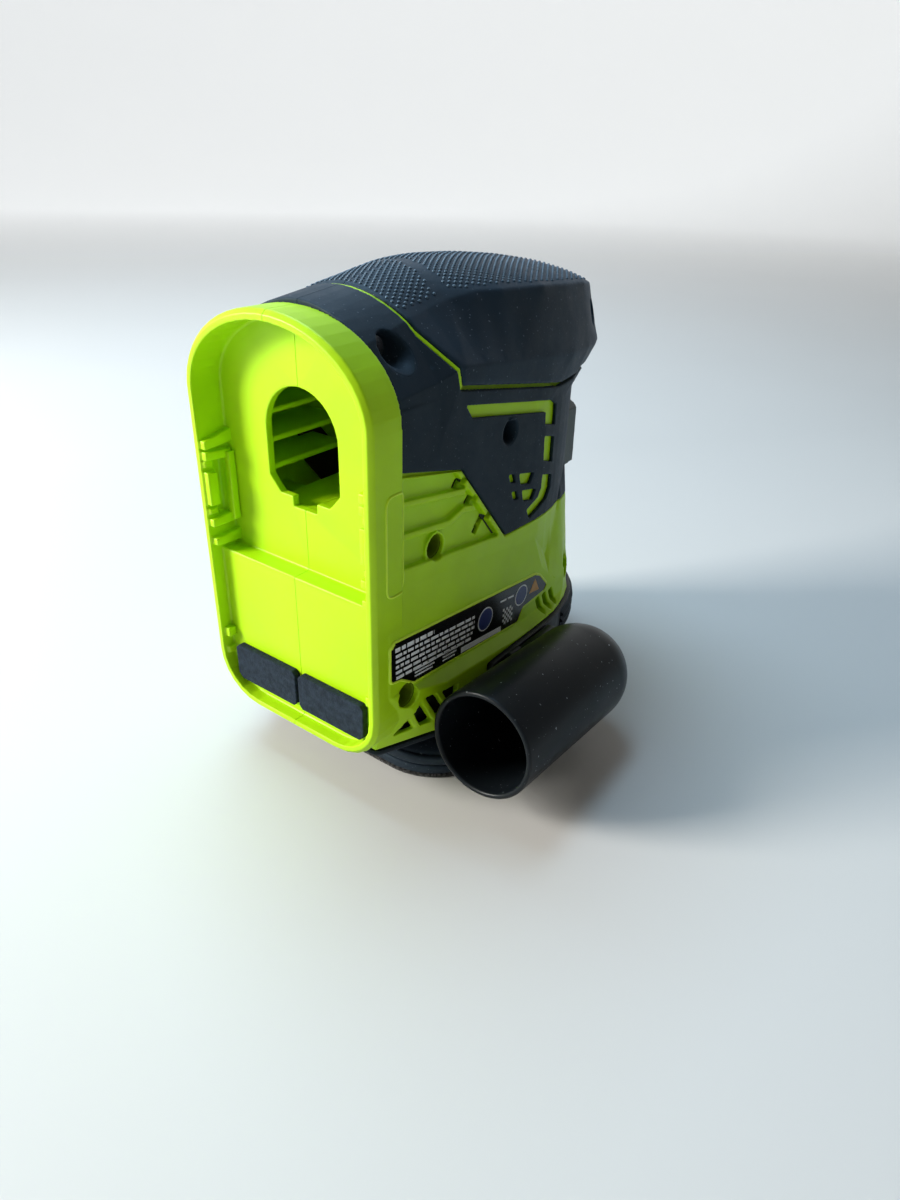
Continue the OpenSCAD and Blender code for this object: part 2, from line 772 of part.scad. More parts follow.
module ball_bearing(r_in, r_out, h) {
    mid = (r_in + r_out) / 2;
    ball = (r_out - r_in) * 0.24;
    ring(r_in, mid - ball * 0.6, 0, h);
    ring(mid + ball * 0.6, r_out, 0, h);
    ring(mid - ball * 0.6 - 0.01, mid + ball * 0.6 + 0.01, h / 2 - 0.6, h / 2 + 0.6);
}

module upper_bearing() {
    color(steel) translate([0, 0, can_top + 2.4]) ball_bearing(shaft_r + 0.03, 8, 4);
}

module lower_bearing() {
    color(steel) translate([0, 0, can_z - 3.6]) ball_bearing(shaft_r + 0.03, 8, 4.4);
}

module brush_holders() {
    color([0.78, 0.66, 0.30]) for (a = [0, 180]) rotate(a) difference() {
        translate([7.4, -2.9, can_top - 3.9]) cube([7.4, 5.8, 3.8]);
        translate([7, -2, can_top - 3.2]) cube([9, 4, 2.5]);
    }
}

module carbon_brushes() {
    color([0.15, 0.15, 0.15]) for (a = [0, 180]) rotate(a)
        translate([6.3, -1.95, can_top - 3.15]) cube([4.6, 3.9, 2.4]);
}

module brush_springs() {
    color(steel) for (a = [0, 180]) rotate(a) for (i = [0 : 4])
        translate([11.2 + i * 0.7, 0, can_top - 1.95]) rotate([0, 90, 0])
            difference() {
                cylinder(h = 0.4, r = 1.1, $fn = 24);
                translate([0, 0, -1]) cylinder(h = 3, r = 0.6, $fn = 24);
            }
}

module motor_mount() {
    color(satin_black) difference() {
        union() {
            translate([0, 0, 54]) cylinder(h = 2.4, r = mount_r);
            ring(10.05, 12.4, 56.4, 57.9);
        }
        translate([0, 0, 50]) cylinder(h = 10, r = 10.03);
        for (a = [45 : 90 : 315]) rotate(a) translate([24, 0, 50]) cylinder(h = 10, r = 4);
        for (a = [0, 180]) rotate(a) translate([15, 0, 50]) cylinder(h = 10, r = 1.6);
    }
}

module motor_screws() {
    color(steel) for (a = [0, 180]) rotate(a) translate([15, 0, 0]) {
        translate([0, 0, 54]) cylinder(h = 5.4, r = 1.5);
        translate([0, 0, 52.2]) cylinder(h = 1.8, r = 2.8);
    }
}

module motor_shaft() {
    color(steel) translate([0, 0, 24]) cylinder(h = can_top + 7 - 24, r = shaft_r);
}

module armature_core() {
    slots = 5;
    color([0.45, 0.45, 0.48]) difference() {
        translate([0, 0, can_z + 8]) cylinder(h = can_len - 24, r = 14);
        translate([0, 0, can_z]) cylinder(h = can_len, r = shaft_r + 0.01);
        for (i = [0 : slots - 1]) rotate(i * 360 / slots) {
            translate([10, -0.9, can_z]) cube([6, 1.8, can_len]);
            translate([8.6, 0, can_z]) cylinder(h = can_len, r = 3.2);
        }
    }
}

module armature_windings() {
    color(copper) {
        for (i = [0 : 4]) rotate(i * 72) translate([8.6, 0, can_z + 5])
            cylinder(h = can_len - 18, r = 3.1);
        ring(shaft_r + 0.3, 11, can_z + 4.6, can_z + 7.9);
        ring(shaft_r + 0.3, 11, can_top - 15.9, can_top - 12);
    }
}

module commutator() {
    color(copper) difference() {
        translate([0, 0, can_top - 9]) cylinder(h = 8, r = 6);
        translate([0, 0, can_top - 10]) cylinder(h = 10, r = shaft_r + 0.01);
        for (i = [0 : 9]) rotate(i * 36) translate([5, -0.2, can_top - 10]) cube([2, 0.4, 10]);
    }
}

// ---- Rotor below the motor -------------------------------------------------

fan_z = 42;
journal_r = 5;
journal_z = 12.6;
bearing_r = 13;

module cooling_fan() {
    blades = 14;
    color([0.82, 0.82, 0.80]) difference() {
        union() {
            translate([0, 0, fan_z]) cylinder(h = 1.8, r = fan_r);
            translate([0, 0, fan_z]) cylinder(h = 9, r = 6);
            for (i = [0 : blades - 1]) rotate(i * 360 / blades)
                translate([10, -0.8, fan_z + 1.7]) rotate([0, 0, 14]) cube([fan_r - 11, 1.6, 6.6]);
        }
        translate([0, 0, fan_z - 1]) cylinder(h = 12, r = shaft_r + 0.01);
    }
}

// Eccentric journal and its balance weight in one casting
module counterweight() {
    color([0.60, 0.58, 0.52]) difference() {
        union() {
            translate([0, 0, 27]) cylinder(h = 14.8, r = 7);
            translate([0, 0, 28]) intersection() {
                cylinder(h = 9, r = 22);
                translate([-30, -30, -1]) cube([24, 60, 12]);
            }
            translate([-8, -7, 28]) cube([8, 14, 9]);
            translate([throw, 0, 21.2]) cylinder(h = 5.9, r = 7);
            translate([throw, 0, journal_z]) cylinder(h = 8.7, r = journal_r - 0.02);
        }
        translate([0, 0, 24]) cylinder(h = 20, r = shaft_r + 0.01);
        translate([throw, 0, journal_z - 1]) cylinder(h = 9, r = 2.05);
    }
}

module bearing_screw() {
    color(steel) translate([throw, 0, 0]) {
        translate([0, 0, journal_z - 1.25]) cylinder(h = 1.2, r = 7);
        difference() {
            translate([0, 0, journal_z - 3.8]) cylinder(h = 2.6, r = 4);
            translate([0, 0, journal_z - 4.8]) cylinder(h = 2.6, r = 1.7, $fn = 6);
        }
        translate([0, 0, journal_z - 1]) cylinder(h = 8.6, r = 2);
    }
}

module eccentric_bearing() {
    color(steel) translate([throw, 0, journal_z]) ball_bearing(journal_r, bearing_r, 8);
}

// ---- Pad -------------------------------------------------------------------

pad_rear = -pad_len / 2;
pad_half = pad_w / 2;
POSTS = [[30, -46], [-30, -46], [17, 36], [-17, 36]];
post_r = 5;

// Iron-shaped outline of the pad, drawn in by d
module pad_outline(d) {
    r = pad_corner_r - d;
    polygon(mirrored(concat(
        arc(pad_half - pad_corner_r, pad_rear + pad_corner_r, r, r, -90, 0, 8),
        arc(-66, pad_rear + pad_corner_r, pad_half + 66 - d, pad_len - pad_corner_r - 4, 8, 50, 8),
        arc(0, pad_len / 2 - 7.2, 7.2 - d, 7.2 - d, 34, 88, 4))));
}

module pad_platen() {
    color(satin_black) difference() {
        union() {
            along_z(cushion_z, platen_top_z) pad_outline(2.4);
            hull() {
                along_z(platen_top_z - 0.1, platen_top_z) pad_outline(3.2);
                along_z(platen_top_z + 4, platen_top_z + 4.2) pad_outline(16);
            }
            translate([throw, 0, 10]) cylinder(h = 12, r = bearing_r + 3);
            for (p = POSTS) translate([p[0] + throw, p[1], 9]) cylinder(h = 8, r = post_r + 3);
        }
        translate([throw, 0, journal_z - 0.3]) cylinder(h = 20, r = bearing_r + 0.02);
        translate([throw, 0, cushion_z + 1.4]) cylinder(h = 10, r = 9);
        for (p = POSTS) translate([p[0] + throw, p[1], 10]) cylinder(h = 10, r = post_r + 1.3);
    }
}

// Soft rim band bonded round the platen
module pad_rim() {
    color([0.11, 0.12, 0.14]) difference() {
        along_z(cushion_z + 0.3, platen_top_z - 0.4) pad_outline(0.6);
        along_z(0, 40) pad_outline(2.4);
    }
}

module pad_cushion() {
    color([0.15, 0.16, 0.18]) along_z(hook_t, cushion_z) pad_outline(0.4);
}

module hook_face() {
    color([0.22, 0.22, 0.22]) along_z(0, hook_t) pad_outline(0);
}

module platen_screws() {
    color(steel) for (a = [45 : 90 : 315]) translate([throw, 0, 0]) rotate(a)
        translate([14.4, 0, 22]) cylinder(h = 1.2, r = 1.5);
}

// ---- Dust shroud and outlet ------------------------------------------------

tube_mouth = [65.1, -71.4, 30.9];
tube_drop = 4.6;
tube_turn = 0.7;

module tube_frame() {
    translate(tube_mouth) rotate([0, 0, -tube_turn]) rotate([-90 - tube_drop, 0, 0]) children();
}

shroud_edge_z = base_edge_z - 0.3;
shroud_top_z = 40;
shroud_out = 1.6;                // how far the shroud's band stands out of the base
roof_in = 7.5;                   // how far the shroud's roof is drawn in from the base

// Black shroud that closes the base and leads dust to the outlet
module base_shroud() {
    color(satin_black) difference() {
        union() {
            along_z(19, shroud_edge_z) intersection() {
                base_plan(shell_t + 0.3);
                translate([-far / 2, -76]) square(far);
            }
            along_z(19, shroud_edge_z) intersection() {
                base_plan(-shroud_out);
                translate([-far / 2, -33]) square(far);
            }
            along_z(shroud_edge_z - 1, shroud_top_z) intersection() {
                base_plan(roof_in);
                translate([-far / 2, -76]) square(far);
            }
        }
        along_z(10, shroud_edge_z - 2) intersection() {
            base_plan(shell_t + 3);
            translate([-far / 2, -73]) square(far);
        }
        along_z(10, shroud_top_z - 2.6) intersection() {
            base_plan(roof_in + 2.6);
            translate([-far / 2, -73]) square(far);
        }
        translate([0, 0, 30]) cylinder(h = 20, r = fan_r + 2);
        for (p = POSTS) translate([p[0], p[1], 30]) cylinder(h = 20, r = post_r - 1.4);
        translate([30, -16, 22]) cube([30, 20, 9.4]);
        for (s = SCREWS) if (s[1] < shroud_top_z + boss_r)
            rod_x(boss_r + 0.3, -60, 60, s[0], s[1]);
    }
}

// Pleated rubber seal between the shroud and the pad
module skirt_seal() {
    color([0.08, 0.09, 0.10]) {
        // lip against the foot of the shroud
        along_z(16.4, 18.9) difference() {
            intersection() {
                base_plan(-1);
                translate([-far / 2, -80]) square(far);
            }
            base_plan(2);
        }
        // pleat round the shroud's band, open where the outlet joins
        along_z(27.4, 30.8) difference() {
            intersection() {
                base_plan(-3);
                translate([-far / 2, -30]) square(far);
            }
            base_plan(-shroud_out - 0.01);
            translate([30, -30]) square([30, 48]);
        }
    }
}

// Rubber columns that let the pad orbit but not turn
module support_posts() {
    color([0.10, 0.10, 0.11]) for (p = POSTS) translate([p[0], p[1], 0]) {
        translate([0, 0, 10.4]) cylinder(h = 5, r = post_r - 0.2);
        translate([0, 0, 15.4]) cylinder(h = 18, r = post_r - 1.6);
        translate([0, 0, 33.4]) cylinder(h = 6.6, r = post_r - 1.6);
    }
}

module post_screws() {
    color(steel) for (p = POSTS) translate([p[0], p[1], 40.01]) cylinder(h = 1.6, r = 4.8);
}

// Side outlet tube with a domed front end and an open mouth at the rear
module dust_tube() {
    color(satin_black) difference() {
        union() {
            tube_frame() cylinder(h = tube_len, r = tube_r);
            tube_frame() translate([0, 0, tube_len]) sphere(r = tube_r);
            translate([44.4, -17.8, 20.2]) cube([12, 23.6, 13]);
        }
        tube_frame() translate([0, 0, -1]) cylinder(h = tube_len + 1, r = tube_bore_r);
        tube_frame() translate([0, 0, tube_len]) sphere(r = tube_bore_r);
        translate([40, -16, 22]) cube([20, 20, 9.4]);
    }
}

// Snap latch that holds the outlet on the shroud
module tube_latch() {
    color([0.12, 0.13, 0.15]) {
        translate([44.2, -24.6, 27]) cube([2.2, 6.6, 6.2]);
        translate([45.7, -24.6, 33.2]) rotate([-90, 0, 0]) cylinder(h = 6.6, r = 1.5);
    }
}

// ---- Fasteners -------------------------------------------------------------

module housing_screws() {
    color(steel) for (s = SCREWS) {
        rod_x(screw_r, -10, s[2] + 0.1, s[0], s[1]);
        difference() {
            rod_x(head_r, s[2], s[2] + 2.6, s[0], s[1]);
            rod_x(1.5, s[2] + 1.2, s[2] + 4, s[0], s[1], $fn = 6);
        }
    }
}

housing_right();
housing_left();
side_cover_right();
side_cover_left();
palm_grip_right();
palm_grip_left();
accent_bead_right();
accent_bead_left();
battery_pad_right();
battery_pad_left();
rating_label();
terminal_block();
terminal_blades();
switch_carrier();
switch_module();
switch_pin();
power_rocker();
lead_wires();
motor_can();
motor_magnets();
motor_end_bell();
upper_bearing();
lower_bearing();
brush_holders();
carbon_brushes();
brush_springs();
motor_mount();
motor_screws();
motor_shaft();
armature_core();
armature_windings();
commutator();
cooling_fan();
counterweight();
bearing_screw();
eccentric_bearing();
pad_platen();
pad_rim();
pad_cushion();
hook_face();
platen_screws();
base_shroud();
skirt_seal();
support_posts();
post_screws();
dust_tube();
tube_latch();
housing_screws();
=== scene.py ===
"""Looks for the cordless palm orbital sander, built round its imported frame."""
import json
import math
import random

import bmesh
import bpy
from mathutils import Matrix, Vector
from mathutils.bvhtree import BVHTree


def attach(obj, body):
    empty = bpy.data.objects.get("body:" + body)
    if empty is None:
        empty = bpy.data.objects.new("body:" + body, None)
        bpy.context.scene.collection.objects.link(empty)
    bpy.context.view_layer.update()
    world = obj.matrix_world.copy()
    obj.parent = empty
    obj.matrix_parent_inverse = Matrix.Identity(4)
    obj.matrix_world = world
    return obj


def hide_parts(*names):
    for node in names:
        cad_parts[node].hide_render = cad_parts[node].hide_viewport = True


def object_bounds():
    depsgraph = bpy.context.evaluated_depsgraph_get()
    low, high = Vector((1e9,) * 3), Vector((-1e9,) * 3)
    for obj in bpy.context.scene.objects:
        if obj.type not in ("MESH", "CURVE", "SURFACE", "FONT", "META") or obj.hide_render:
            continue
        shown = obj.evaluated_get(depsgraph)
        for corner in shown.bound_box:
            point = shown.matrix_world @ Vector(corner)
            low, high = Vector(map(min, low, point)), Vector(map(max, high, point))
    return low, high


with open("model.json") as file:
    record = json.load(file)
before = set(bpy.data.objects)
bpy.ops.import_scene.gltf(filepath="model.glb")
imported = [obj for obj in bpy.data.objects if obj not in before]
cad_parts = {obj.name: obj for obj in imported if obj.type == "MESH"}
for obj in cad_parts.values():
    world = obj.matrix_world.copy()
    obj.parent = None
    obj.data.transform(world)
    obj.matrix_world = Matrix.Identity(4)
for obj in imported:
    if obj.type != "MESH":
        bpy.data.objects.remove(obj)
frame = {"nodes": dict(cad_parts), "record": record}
cad_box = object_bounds()
nodes = frame["nodes"]

MM = 0.001
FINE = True
random.seed(7)


# ---- Materials ------------------------------------------------------------------------


FLAT, RAISED = 0.5, 0.56  # pointiness of a flat face and of a raised edge


class Shader:
    """A material with one Principled surface and short ways to add procedural detail."""

    def __init__(self, name, roughness, metallic=0.0, specular=0.5):
        self.material = bpy.data.materials.new(name)
        self.material.use_nodes = True
        self.nodes = self.material.node_tree.nodes
        self.links = self.material.node_tree.links
        self.surface = self.nodes["Principled BSDF"]
        self.surface.inputs["Roughness"].default_value = roughness
        self.surface.inputs["Metallic"].default_value = metallic
        self.surface.inputs["Specular IOR Level"].default_value = specular
        self.place = self.nodes.new("ShaderNodeTexCoord").outputs["Object"]
        self.height = None

    def stretch(self, factors):
        """The object's coordinates, scaled by a factor on each axis."""
        mapping = self.nodes.new("ShaderNodeMapping")
        mapping.inputs["Scale"].default_value = factors
        self.links.new(self.place, mapping.inputs["Vector"])
        return mapping.outputs["Vector"]

    def noise(self, size, detail=2.0, rough=0.5, place=None):
        """Noise whose lumps are about the given size in metres."""
        tex = self.nodes.new("ShaderNodeTexNoise")
        tex.inputs["Scale"].default_value = 1.0 / size
        tex.inputs["Detail"].default_value = detail
        tex.inputs["Roughness"].default_value = rough
        self.links.new(place or self.place, tex.inputs["Vector"])
        return tex.outputs["Fac"]

    def cells(self, size):
        """Distance to the nearest of points about the given size in metres apart."""
        tex = self.nodes.new("ShaderNodeTexVoronoi")
        tex.inputs["Scale"].default_value = 1.0 / size
        self.links.new(self.place, tex.inputs["Vector"])
        return tex.outputs["Distance"]

    def spread(self, value, low, high, out_low=0.0, out_high=1.0):
        """Maps a value's range from low to high onto another range, held at its ends."""
        node = self.nodes.new("ShaderNodeMapRange")
        for key, number in zip(("From Min", "From Max", "To Min", "To Max"),
                               (low, high, out_low, out_high)):
            node.inputs[key].default_value = number
        self.links.new(value, node.inputs["Value"])
        return node.outputs["Result"]

    def mix(self, fac, first, second):
        """A colour between two, each a colour or another node's output."""
        node = self.nodes.new("ShaderNodeMix")
        node.data_type = "RGBA"
        self.links.new(fac, node.inputs[0])
        for socket, value in ((node.inputs[6], first), (node.inputs[7], second)):
            if isinstance(value, bpy.types.NodeSocket):
                self.links.new(value, socket)
            else:
                socket.default_value = (*value, 1.0)
        return node.outputs[2]

    def edges(self):
        """0 on flat faces and 1 on raised edges."""
        geometry = self.nodes.new("ShaderNodeNewGeometry")
        return self.spread(geometry.outputs["Pointiness"], FLAT, RAISED)

    def bump(self, value, depth, strength=1.0):
        """Adds a relief of the given depth in metres on top of what is there."""
        node = self.nodes.new("ShaderNodeBump")
        node.inputs["Distance"].default_value = depth
        node.inputs["Strength"].default_value = strength
        self.links.new(value, node.inputs["Height"])
        if self.height is not None:
            self.links.new(self.height, node.inputs["Normal"])
        self.height = node.outputs["Normal"]
        return self

    def done(self, colour=None, roughness=None):
        """Connects what is given and the relief, and hands the material over."""
        if colour is not None:
            self.links.new(colour, self.surface.inputs["Base Color"])
        if roughness is not None:
            self.links.new(roughness, self.surface.inputs["Roughness"])
        if self.height is not None:
            self.links.new(self.height, self.surface.inputs["Normal"])
        return self.material


def scaled(colour, factor):
    """A colour made darker or paler, held at 1."""
    return tuple(min(1.0, c * factor) for c in colour)


def moulded_plastic(name, colour, roughness, grain=0.00035, depth=0.000012, specular=0.5,
                    edge=1.12, dust=0.0):
    """Spark-eroded plastic: fine grain, slow colour drift, raised edges painted paler as a
    highlight, and a little dust.
    """
    s = Shader(name, roughness, specular=specular)
    drift = s.spread(s.noise(0.022, 3.0), 0.35, 0.65)
    body = s.mix(drift, scaled(colour, 0.94), scaled(colour, 1.05))
    # raised edges paler by the edge factor: painted highlight
    body = s.mix(s.edges(), body, scaled(colour, edge))
    if dust:
        specks = s.spread(s.noise(0.0011, 1.0), 0.735, 0.77, 0.0, dust)
        body = s.mix(specks, body, (0.42, 0.46, 0.5))
    rub = s.spread(s.noise(0.012, 4.0, 0.65), 0.3, 0.7, roughness - 0.05, roughness + 0.07)
    s.bump(s.noise(grain, 2.0, 0.6), depth, 0.7)
    s.bump(s.noise(0.009, 2.0), 0.00004, 0.25)
    return s.done(body, rub)


def soft_rubber(name, colour, roughness, dust=0.0):
    """Soft overmould: matt, a rough fine grain and a cool sheen."""
    s = Shader(name, roughness, specular=0.34)
    s.surface.inputs["Sheen Weight"].default_value = 0.08
    s.surface.inputs["Sheen Roughness"].default_value = 0.4
    s.surface.inputs["Sheen Tint"].default_value = (0.45, 0.62, 0.9, 1.0)
    s.surface.inputs["Specular Tint"].default_value = (0.6, 0.82, 1.0, 1.0)
    drift = s.spread(s.noise(0.016, 4.0), 0.35, 0.65)
    body = s.mix(drift, scaled(colour, 0.82), scaled(colour, 1.2))
    body = s.mix(s.edges(), body, scaled(colour, 1.7))
    specks = s.spread(s.noise(0.0009, 1.0), 0.72, 0.76, 0.0, dust)
    body = s.mix(specks, body, (0.25, 0.3, 0.38))
    rub = s.spread(s.noise(0.008, 4.0, 0.7), 0.3, 0.7, roughness - 0.06, roughness + 0.08)
    s.bump(s.noise(0.00042, 2.0, 0.7), 0.00005, 0.8)
    return s.done(body, rub)


def foam(name, colour):
    """Cut closed-cell foam: small open pores and a mottled colour."""
    s = Shader(name, 0.95, specular=0.2)
    pores = s.cells(0.0007)
    mottle = s.spread(s.noise(0.002, 3.0), 0.3, 0.7)
    body = s.mix(mottle, scaled(colour, 0.7), scaled(colour, 1.35))
    body = s.mix(s.spread(pores, 0.0, 0.35), scaled(colour, 0.45), body)
    s.bump(pores, 0.0002, 0.8)
    s.bump(s.noise(0.0025, 3.0), 0.00025, 0.5)
    return s.done(body)


def brushed_metal(name, colour, roughness, axis_stretch=(1.0, 1.0, 30.0)):
    """Machined metal with fine tool marks."""
    s = Shader(name, roughness, metallic=1.0)
    marks = s.noise(0.006, 4.0, 0.7, s.stretch(axis_stretch))
    body = s.mix(s.spread(marks, 0.3, 0.7), scaled(colour, 0.82), scaled(colour, 1.08))
    rub = s.spread(marks, 0.3, 0.7, roughness - 0.08, roughness + 0.1)
    s.bump(marks, 0.00002, 0.4)
    return s.done(body, rub)


def cast_metal(name, colour, roughness):
    """Metal or ferrite with a rough cast skin."""
    s = Shader(name, roughness, metallic=0.85)
    skin = s.noise(0.0008, 4.0, 0.7)
    body = s.mix(s.spread(skin, 0.3, 0.7), scaled(colour, 0.7), scaled(colour, 1.1))
    s.bump(skin, 0.00008, 0.6)
    return s.done(body)


def wound_copper(name, colour):
    """Enamelled wire laid side by side."""
    s = Shader(name, 0.3, metallic=0.9)
    wave = s.nodes.new("ShaderNodeTexWave")
    wave.bands_direction = "Z"
    wave.inputs["Scale"].default_value = 320.0
    wave.inputs["Distortion"].default_value = 1.5
    s.links.new(s.place, wave.inputs["Vector"])
    body = s.mix(wave.outputs["Fac"], scaled(colour, 0.45), colour)
    s.bump(wave.outputs["Fac"], 0.0003, 0.8)
    return s.done(body)


def hook_fabric(name, colour):
    """Rows of small stiff hooks."""
    s = Shader(name, 0.8, specular=0.3)
    s.surface.inputs["Sheen Weight"].default_value = 0.3
    hooks = s.cells(0.0013)
    body = s.mix(s.spread(hooks, 0.1, 0.6), scaled(colour, 1.6), scaled(colour, 0.35))
    s.bump(hooks, 0.0008, 0.9)
    return s.done(body)


LIME = moulded_plastic("lime_plastic", (0.45, 0.765, 0.003), 0.42, specular=0.3, edge=1.08)
# a paler lime for the raised frame round the label and the badge outline: painted highlight along
# them
LIME_PAINTED_HIGHLIGHT = moulded_plastic("lime_raised_painted_highlight", (0.62, 0.88, 0.04), 0.4, specular=0.4, edge=1.05)
OVERMOULD = soft_rubber("soft_overmould", (0.006, 0.0125, 0.0195), 0.62, dust=0.25)
GRIP = soft_rubber("soft_grip", (0.0075, 0.0165, 0.0275), 0.58, dust=0.35)
# the grip's dots get a much paler copy of the grip's rubber: painted highlight on their domes
DOTS_PAINTED_HIGHLIGHT = soft_rubber("grip_dots_painted_highlight", (0.05, 0.08, 0.11), 0.3, dust=0.2)
# the tube's raised edges, its lip most, are painted much paler: painted highlight
TUBE_BLACK = moulded_plastic("tube_black", (0.0045, 0.0062, 0.008), 0.34, grain=0.0006,
                             depth=0.000006, specular=0.2, edge=2.2, dust=0.5)
BLACK = moulded_plastic("black_plastic", (0.009, 0.0105, 0.013), 0.5, edge=1.6, dust=0.2)
PAD_BLACK = soft_rubber("pad_rubber", (0.014, 0.021, 0.03), 0.55, dust=0.4)
SEAL_BLACK = soft_rubber("seal_rubber", (0.007, 0.009, 0.012), 0.65, dust=0.15)
SWITCH = moulded_plastic("switch_grey", (0.10, 0.125, 0.125), 0.55, grain=0.0009, depth=0.00009)
FOAM = foam("foam", (0.018, 0.028, 0.042))
DISC_BLUE = moulded_plastic("disc_blue", (0.02, 0.035, 0.16), 0.35, depth=0.000002, edge=1.0)
AMBER = moulded_plastic("mark_amber", (0.55, 0.25, 0.01), 0.35, depth=0.000002, edge=1.0)
LABEL = moulded_plastic("label_film", (0.004, 0.004, 0.0045), 0.22, depth=0.000003, edge=1.0)
PRINT = moulded_plastic("label_print", (0.82, 0.84, 0.84), 0.35, depth=0.000002, edge=1.0)
IVORY = moulded_plastic("ivory_plastic", (0.62, 0.6, 0.52), 0.45)
RED = moulded_plastic("wire_red", (0.35, 0.012, 0.012), 0.4)
STEEL = brushed_metal("steel", (0.55, 0.56, 0.58), 0.32)
BLADE = brushed_metal("terminal_steel", (0.6, 0.58, 0.52), 0.28, (1.0, 30.0, 1.0))
BRASS = brushed_metal("brass", (0.7, 0.5, 0.2), 0.35)
LAMINATION = brushed_metal("lamination", (0.3, 0.3, 0.32), 0.4, (1.0, 1.0, 120.0))
COPPER = wound_copper("copper", (0.72, 0.32, 0.14))
ZINC = cast_metal("zinc", (0.42, 0.41, 0.38), 0.5)
FERRITE = cast_metal("ferrite", (0.035, 0.035, 0.038), 0.6)
HOOKS = hook_fabric("hook_fabric", (0.03, 0.03, 0.03))

CARRIED = {
    "black_plastic": BLACK, "steel": STEEL, "ferrite": FERRITE, "ivory_plastic": IVORY,
    "brass": BRASS, "lamination": LAMINATION, "copper": COPPER, "zinc": ZINC,
    "wire_red": RED, "black_rubber": SEAL_BLACK, "shell_lime": LIME, "label": LABEL,
    "soft_overmould": OVERMOULD, "switch_grey": SWITCH, "foam": FOAM, "hook_fabric": HOOKS,
}
SLOTS = {row["node"]: row["material_slot"] for row in frame["record"]["subparts"]}
for node_name, node in nodes.items():
    finish = BLADE if node_name == "terminal_blades" else CARRIED[SLOTS[node_name]]
    for material_slot in node.material_slots:
        material_slot.material = finish


# ---- Helpers --------------------------------------------------------------------------


def at(x, y, z):
    """A place given in millimetres."""
    return Vector((x * MM, y * MM, z * MM))


def keep(bm, name, material, smooth=True):
    """Turns a bmesh into a piece with one material."""
    bmesh.ops.recalc_face_normals(bm, faces=bm.faces)
    mesh = bpy.data.meshes.new(name)
    bm.to_mesh(mesh)
    bm.free()
    mesh.materials.append(material)
    for face in mesh.polygons:
        face.use_smooth = smooth
    piece = bpy.data.objects.new(name, mesh)
    bpy.context.scene.collection.objects.link(piece)
    return piece


def on_body(piece, body, slot, *replaced):
    """Puts a piece on its body and hides the CAD nodes that it replaces. The slot is not used."""
    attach(piece, body)
    if replaced:
        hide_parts(*replaced)
    return piece


def applied(piece):
    """Makes the modifiers' result the piece's own mesh."""
    graph = bpy.context.evaluated_depsgraph_get()
    mesh = bpy.data.meshes.new_from_object(piece.evaluated_get(graph))
    piece.modifiers.clear()
    old = piece.data
    piece.data = mesh
    bpy.data.meshes.remove(old)
    return piece


def solid_of(*names):
    """The solids of some CAD nodes in one new bmesh."""
    bm = bmesh.new()
    for name in names:
        bm.from_mesh(nodes[name].data)
    return bm


def as_solid(piece):
    """A piece's mesh as a new bmesh; the piece itself goes."""
    bm = bmesh.new()
    bm.from_mesh(piece.data)
    bpy.data.objects.remove(piece)
    return bm


SEAM = 0.11 * MM  # each half ends this far from the parting plane
SEAM_FACE = 0.06 * MM  # a CAD face nearer to the plane than this belongs to the seam
PAST_SEAM = 2 * MM  # how far a half is carried over the plane
WELD = 1e-7


def past_seam(bm, side):
    """Carries a half's flat seam faces over the parting plane, so that rounding spares them."""
    bmesh.ops.remove_doubles(bm, verts=bm.verts, dist=WELD)
    flat = [f for f in bm.faces if all(side * v.co.x < SEAM_FACE for v in f.verts)]
    grown = bmesh.ops.extrude_face_region(bm, geom=flat)["geom"]
    bmesh.ops.translate(bm, vec=(-side * PAST_SEAM, 0, 0),
                        verts=[v for v in grown if isinstance(v, bmesh.types.BMVert)])
    bmesh.ops.delete(bm, geom=flat, context="FACES_ONLY")
    return bm


def cut_at_seam(piece, side):
    """Trims a half at the parting plane and closes it with sharp edges."""
    bm = bmesh.new()
    bm.from_mesh(piece.data)
    cut = bmesh.ops.bisect_plane(bm, geom=bm.verts[:] + bm.edges[:] + bm.faces[:],
                                 plane_co=(side * SEAM, 0, 0), plane_no=(-side, 0, 0),
                                 clear_outer=True)["geom_cut"]
    rim_edges = [e for e in cut if isinstance(e, bmesh.types.BMEdge)]
    for edge in rim_edges:
        edge.smooth = False
    caps = bmesh.ops.triangle_fill(bm, edges=rim_edges, use_beauty=True)["geom"]
    for face in caps:
        if isinstance(face, bmesh.types.BMFace):
            face.smooth = False
    bmesh.ops.recalc_face_normals(bm, faces=bm.faces)
    bm.to_mesh(piece.data)
    bm.free()
    return piece


def softened(bm, name, material, voxel, passes, faces):
    """A moulding with rounded edges: its solids remeshed as one, smoothed and thinned."""
    piece = keep(bm, name, material)
    step = voxel if FINE else voxel * 2
    remesh = piece.modifiers.new("remesh", "REMESH")
    remesh.mode = "VOXEL"
    remesh.voxel_size = step
    smooth = piece.modifiers.new("smooth", "SMOOTH")
    smooth.factor = 0.5
    smooth.iterations = passes if FINE else max(1, passes // 3)
    applied(piece)
    count = 2 * len(piece.data.polygons)
    if count > faces:
        thin = piece.modifiers.new("thin", "DECIMATE")
        thin.ratio = faces / count
        applied(piece)
    for face in piece.data.polygons:
        face.use_smooth = True
    return piece


def edge_rounded(piece, width, segments=2, angle=35):
    """Bevels the edges that are sharper than the angle, in degrees."""
    bevel = piece.modifiers.new("bevel", "BEVEL")
    bevel.width = width
    bevel.segments = segments
    bevel.limit_method = "ANGLE"
    bevel.angle_limit = math.radians(angle)
    applied(piece)
    return piece


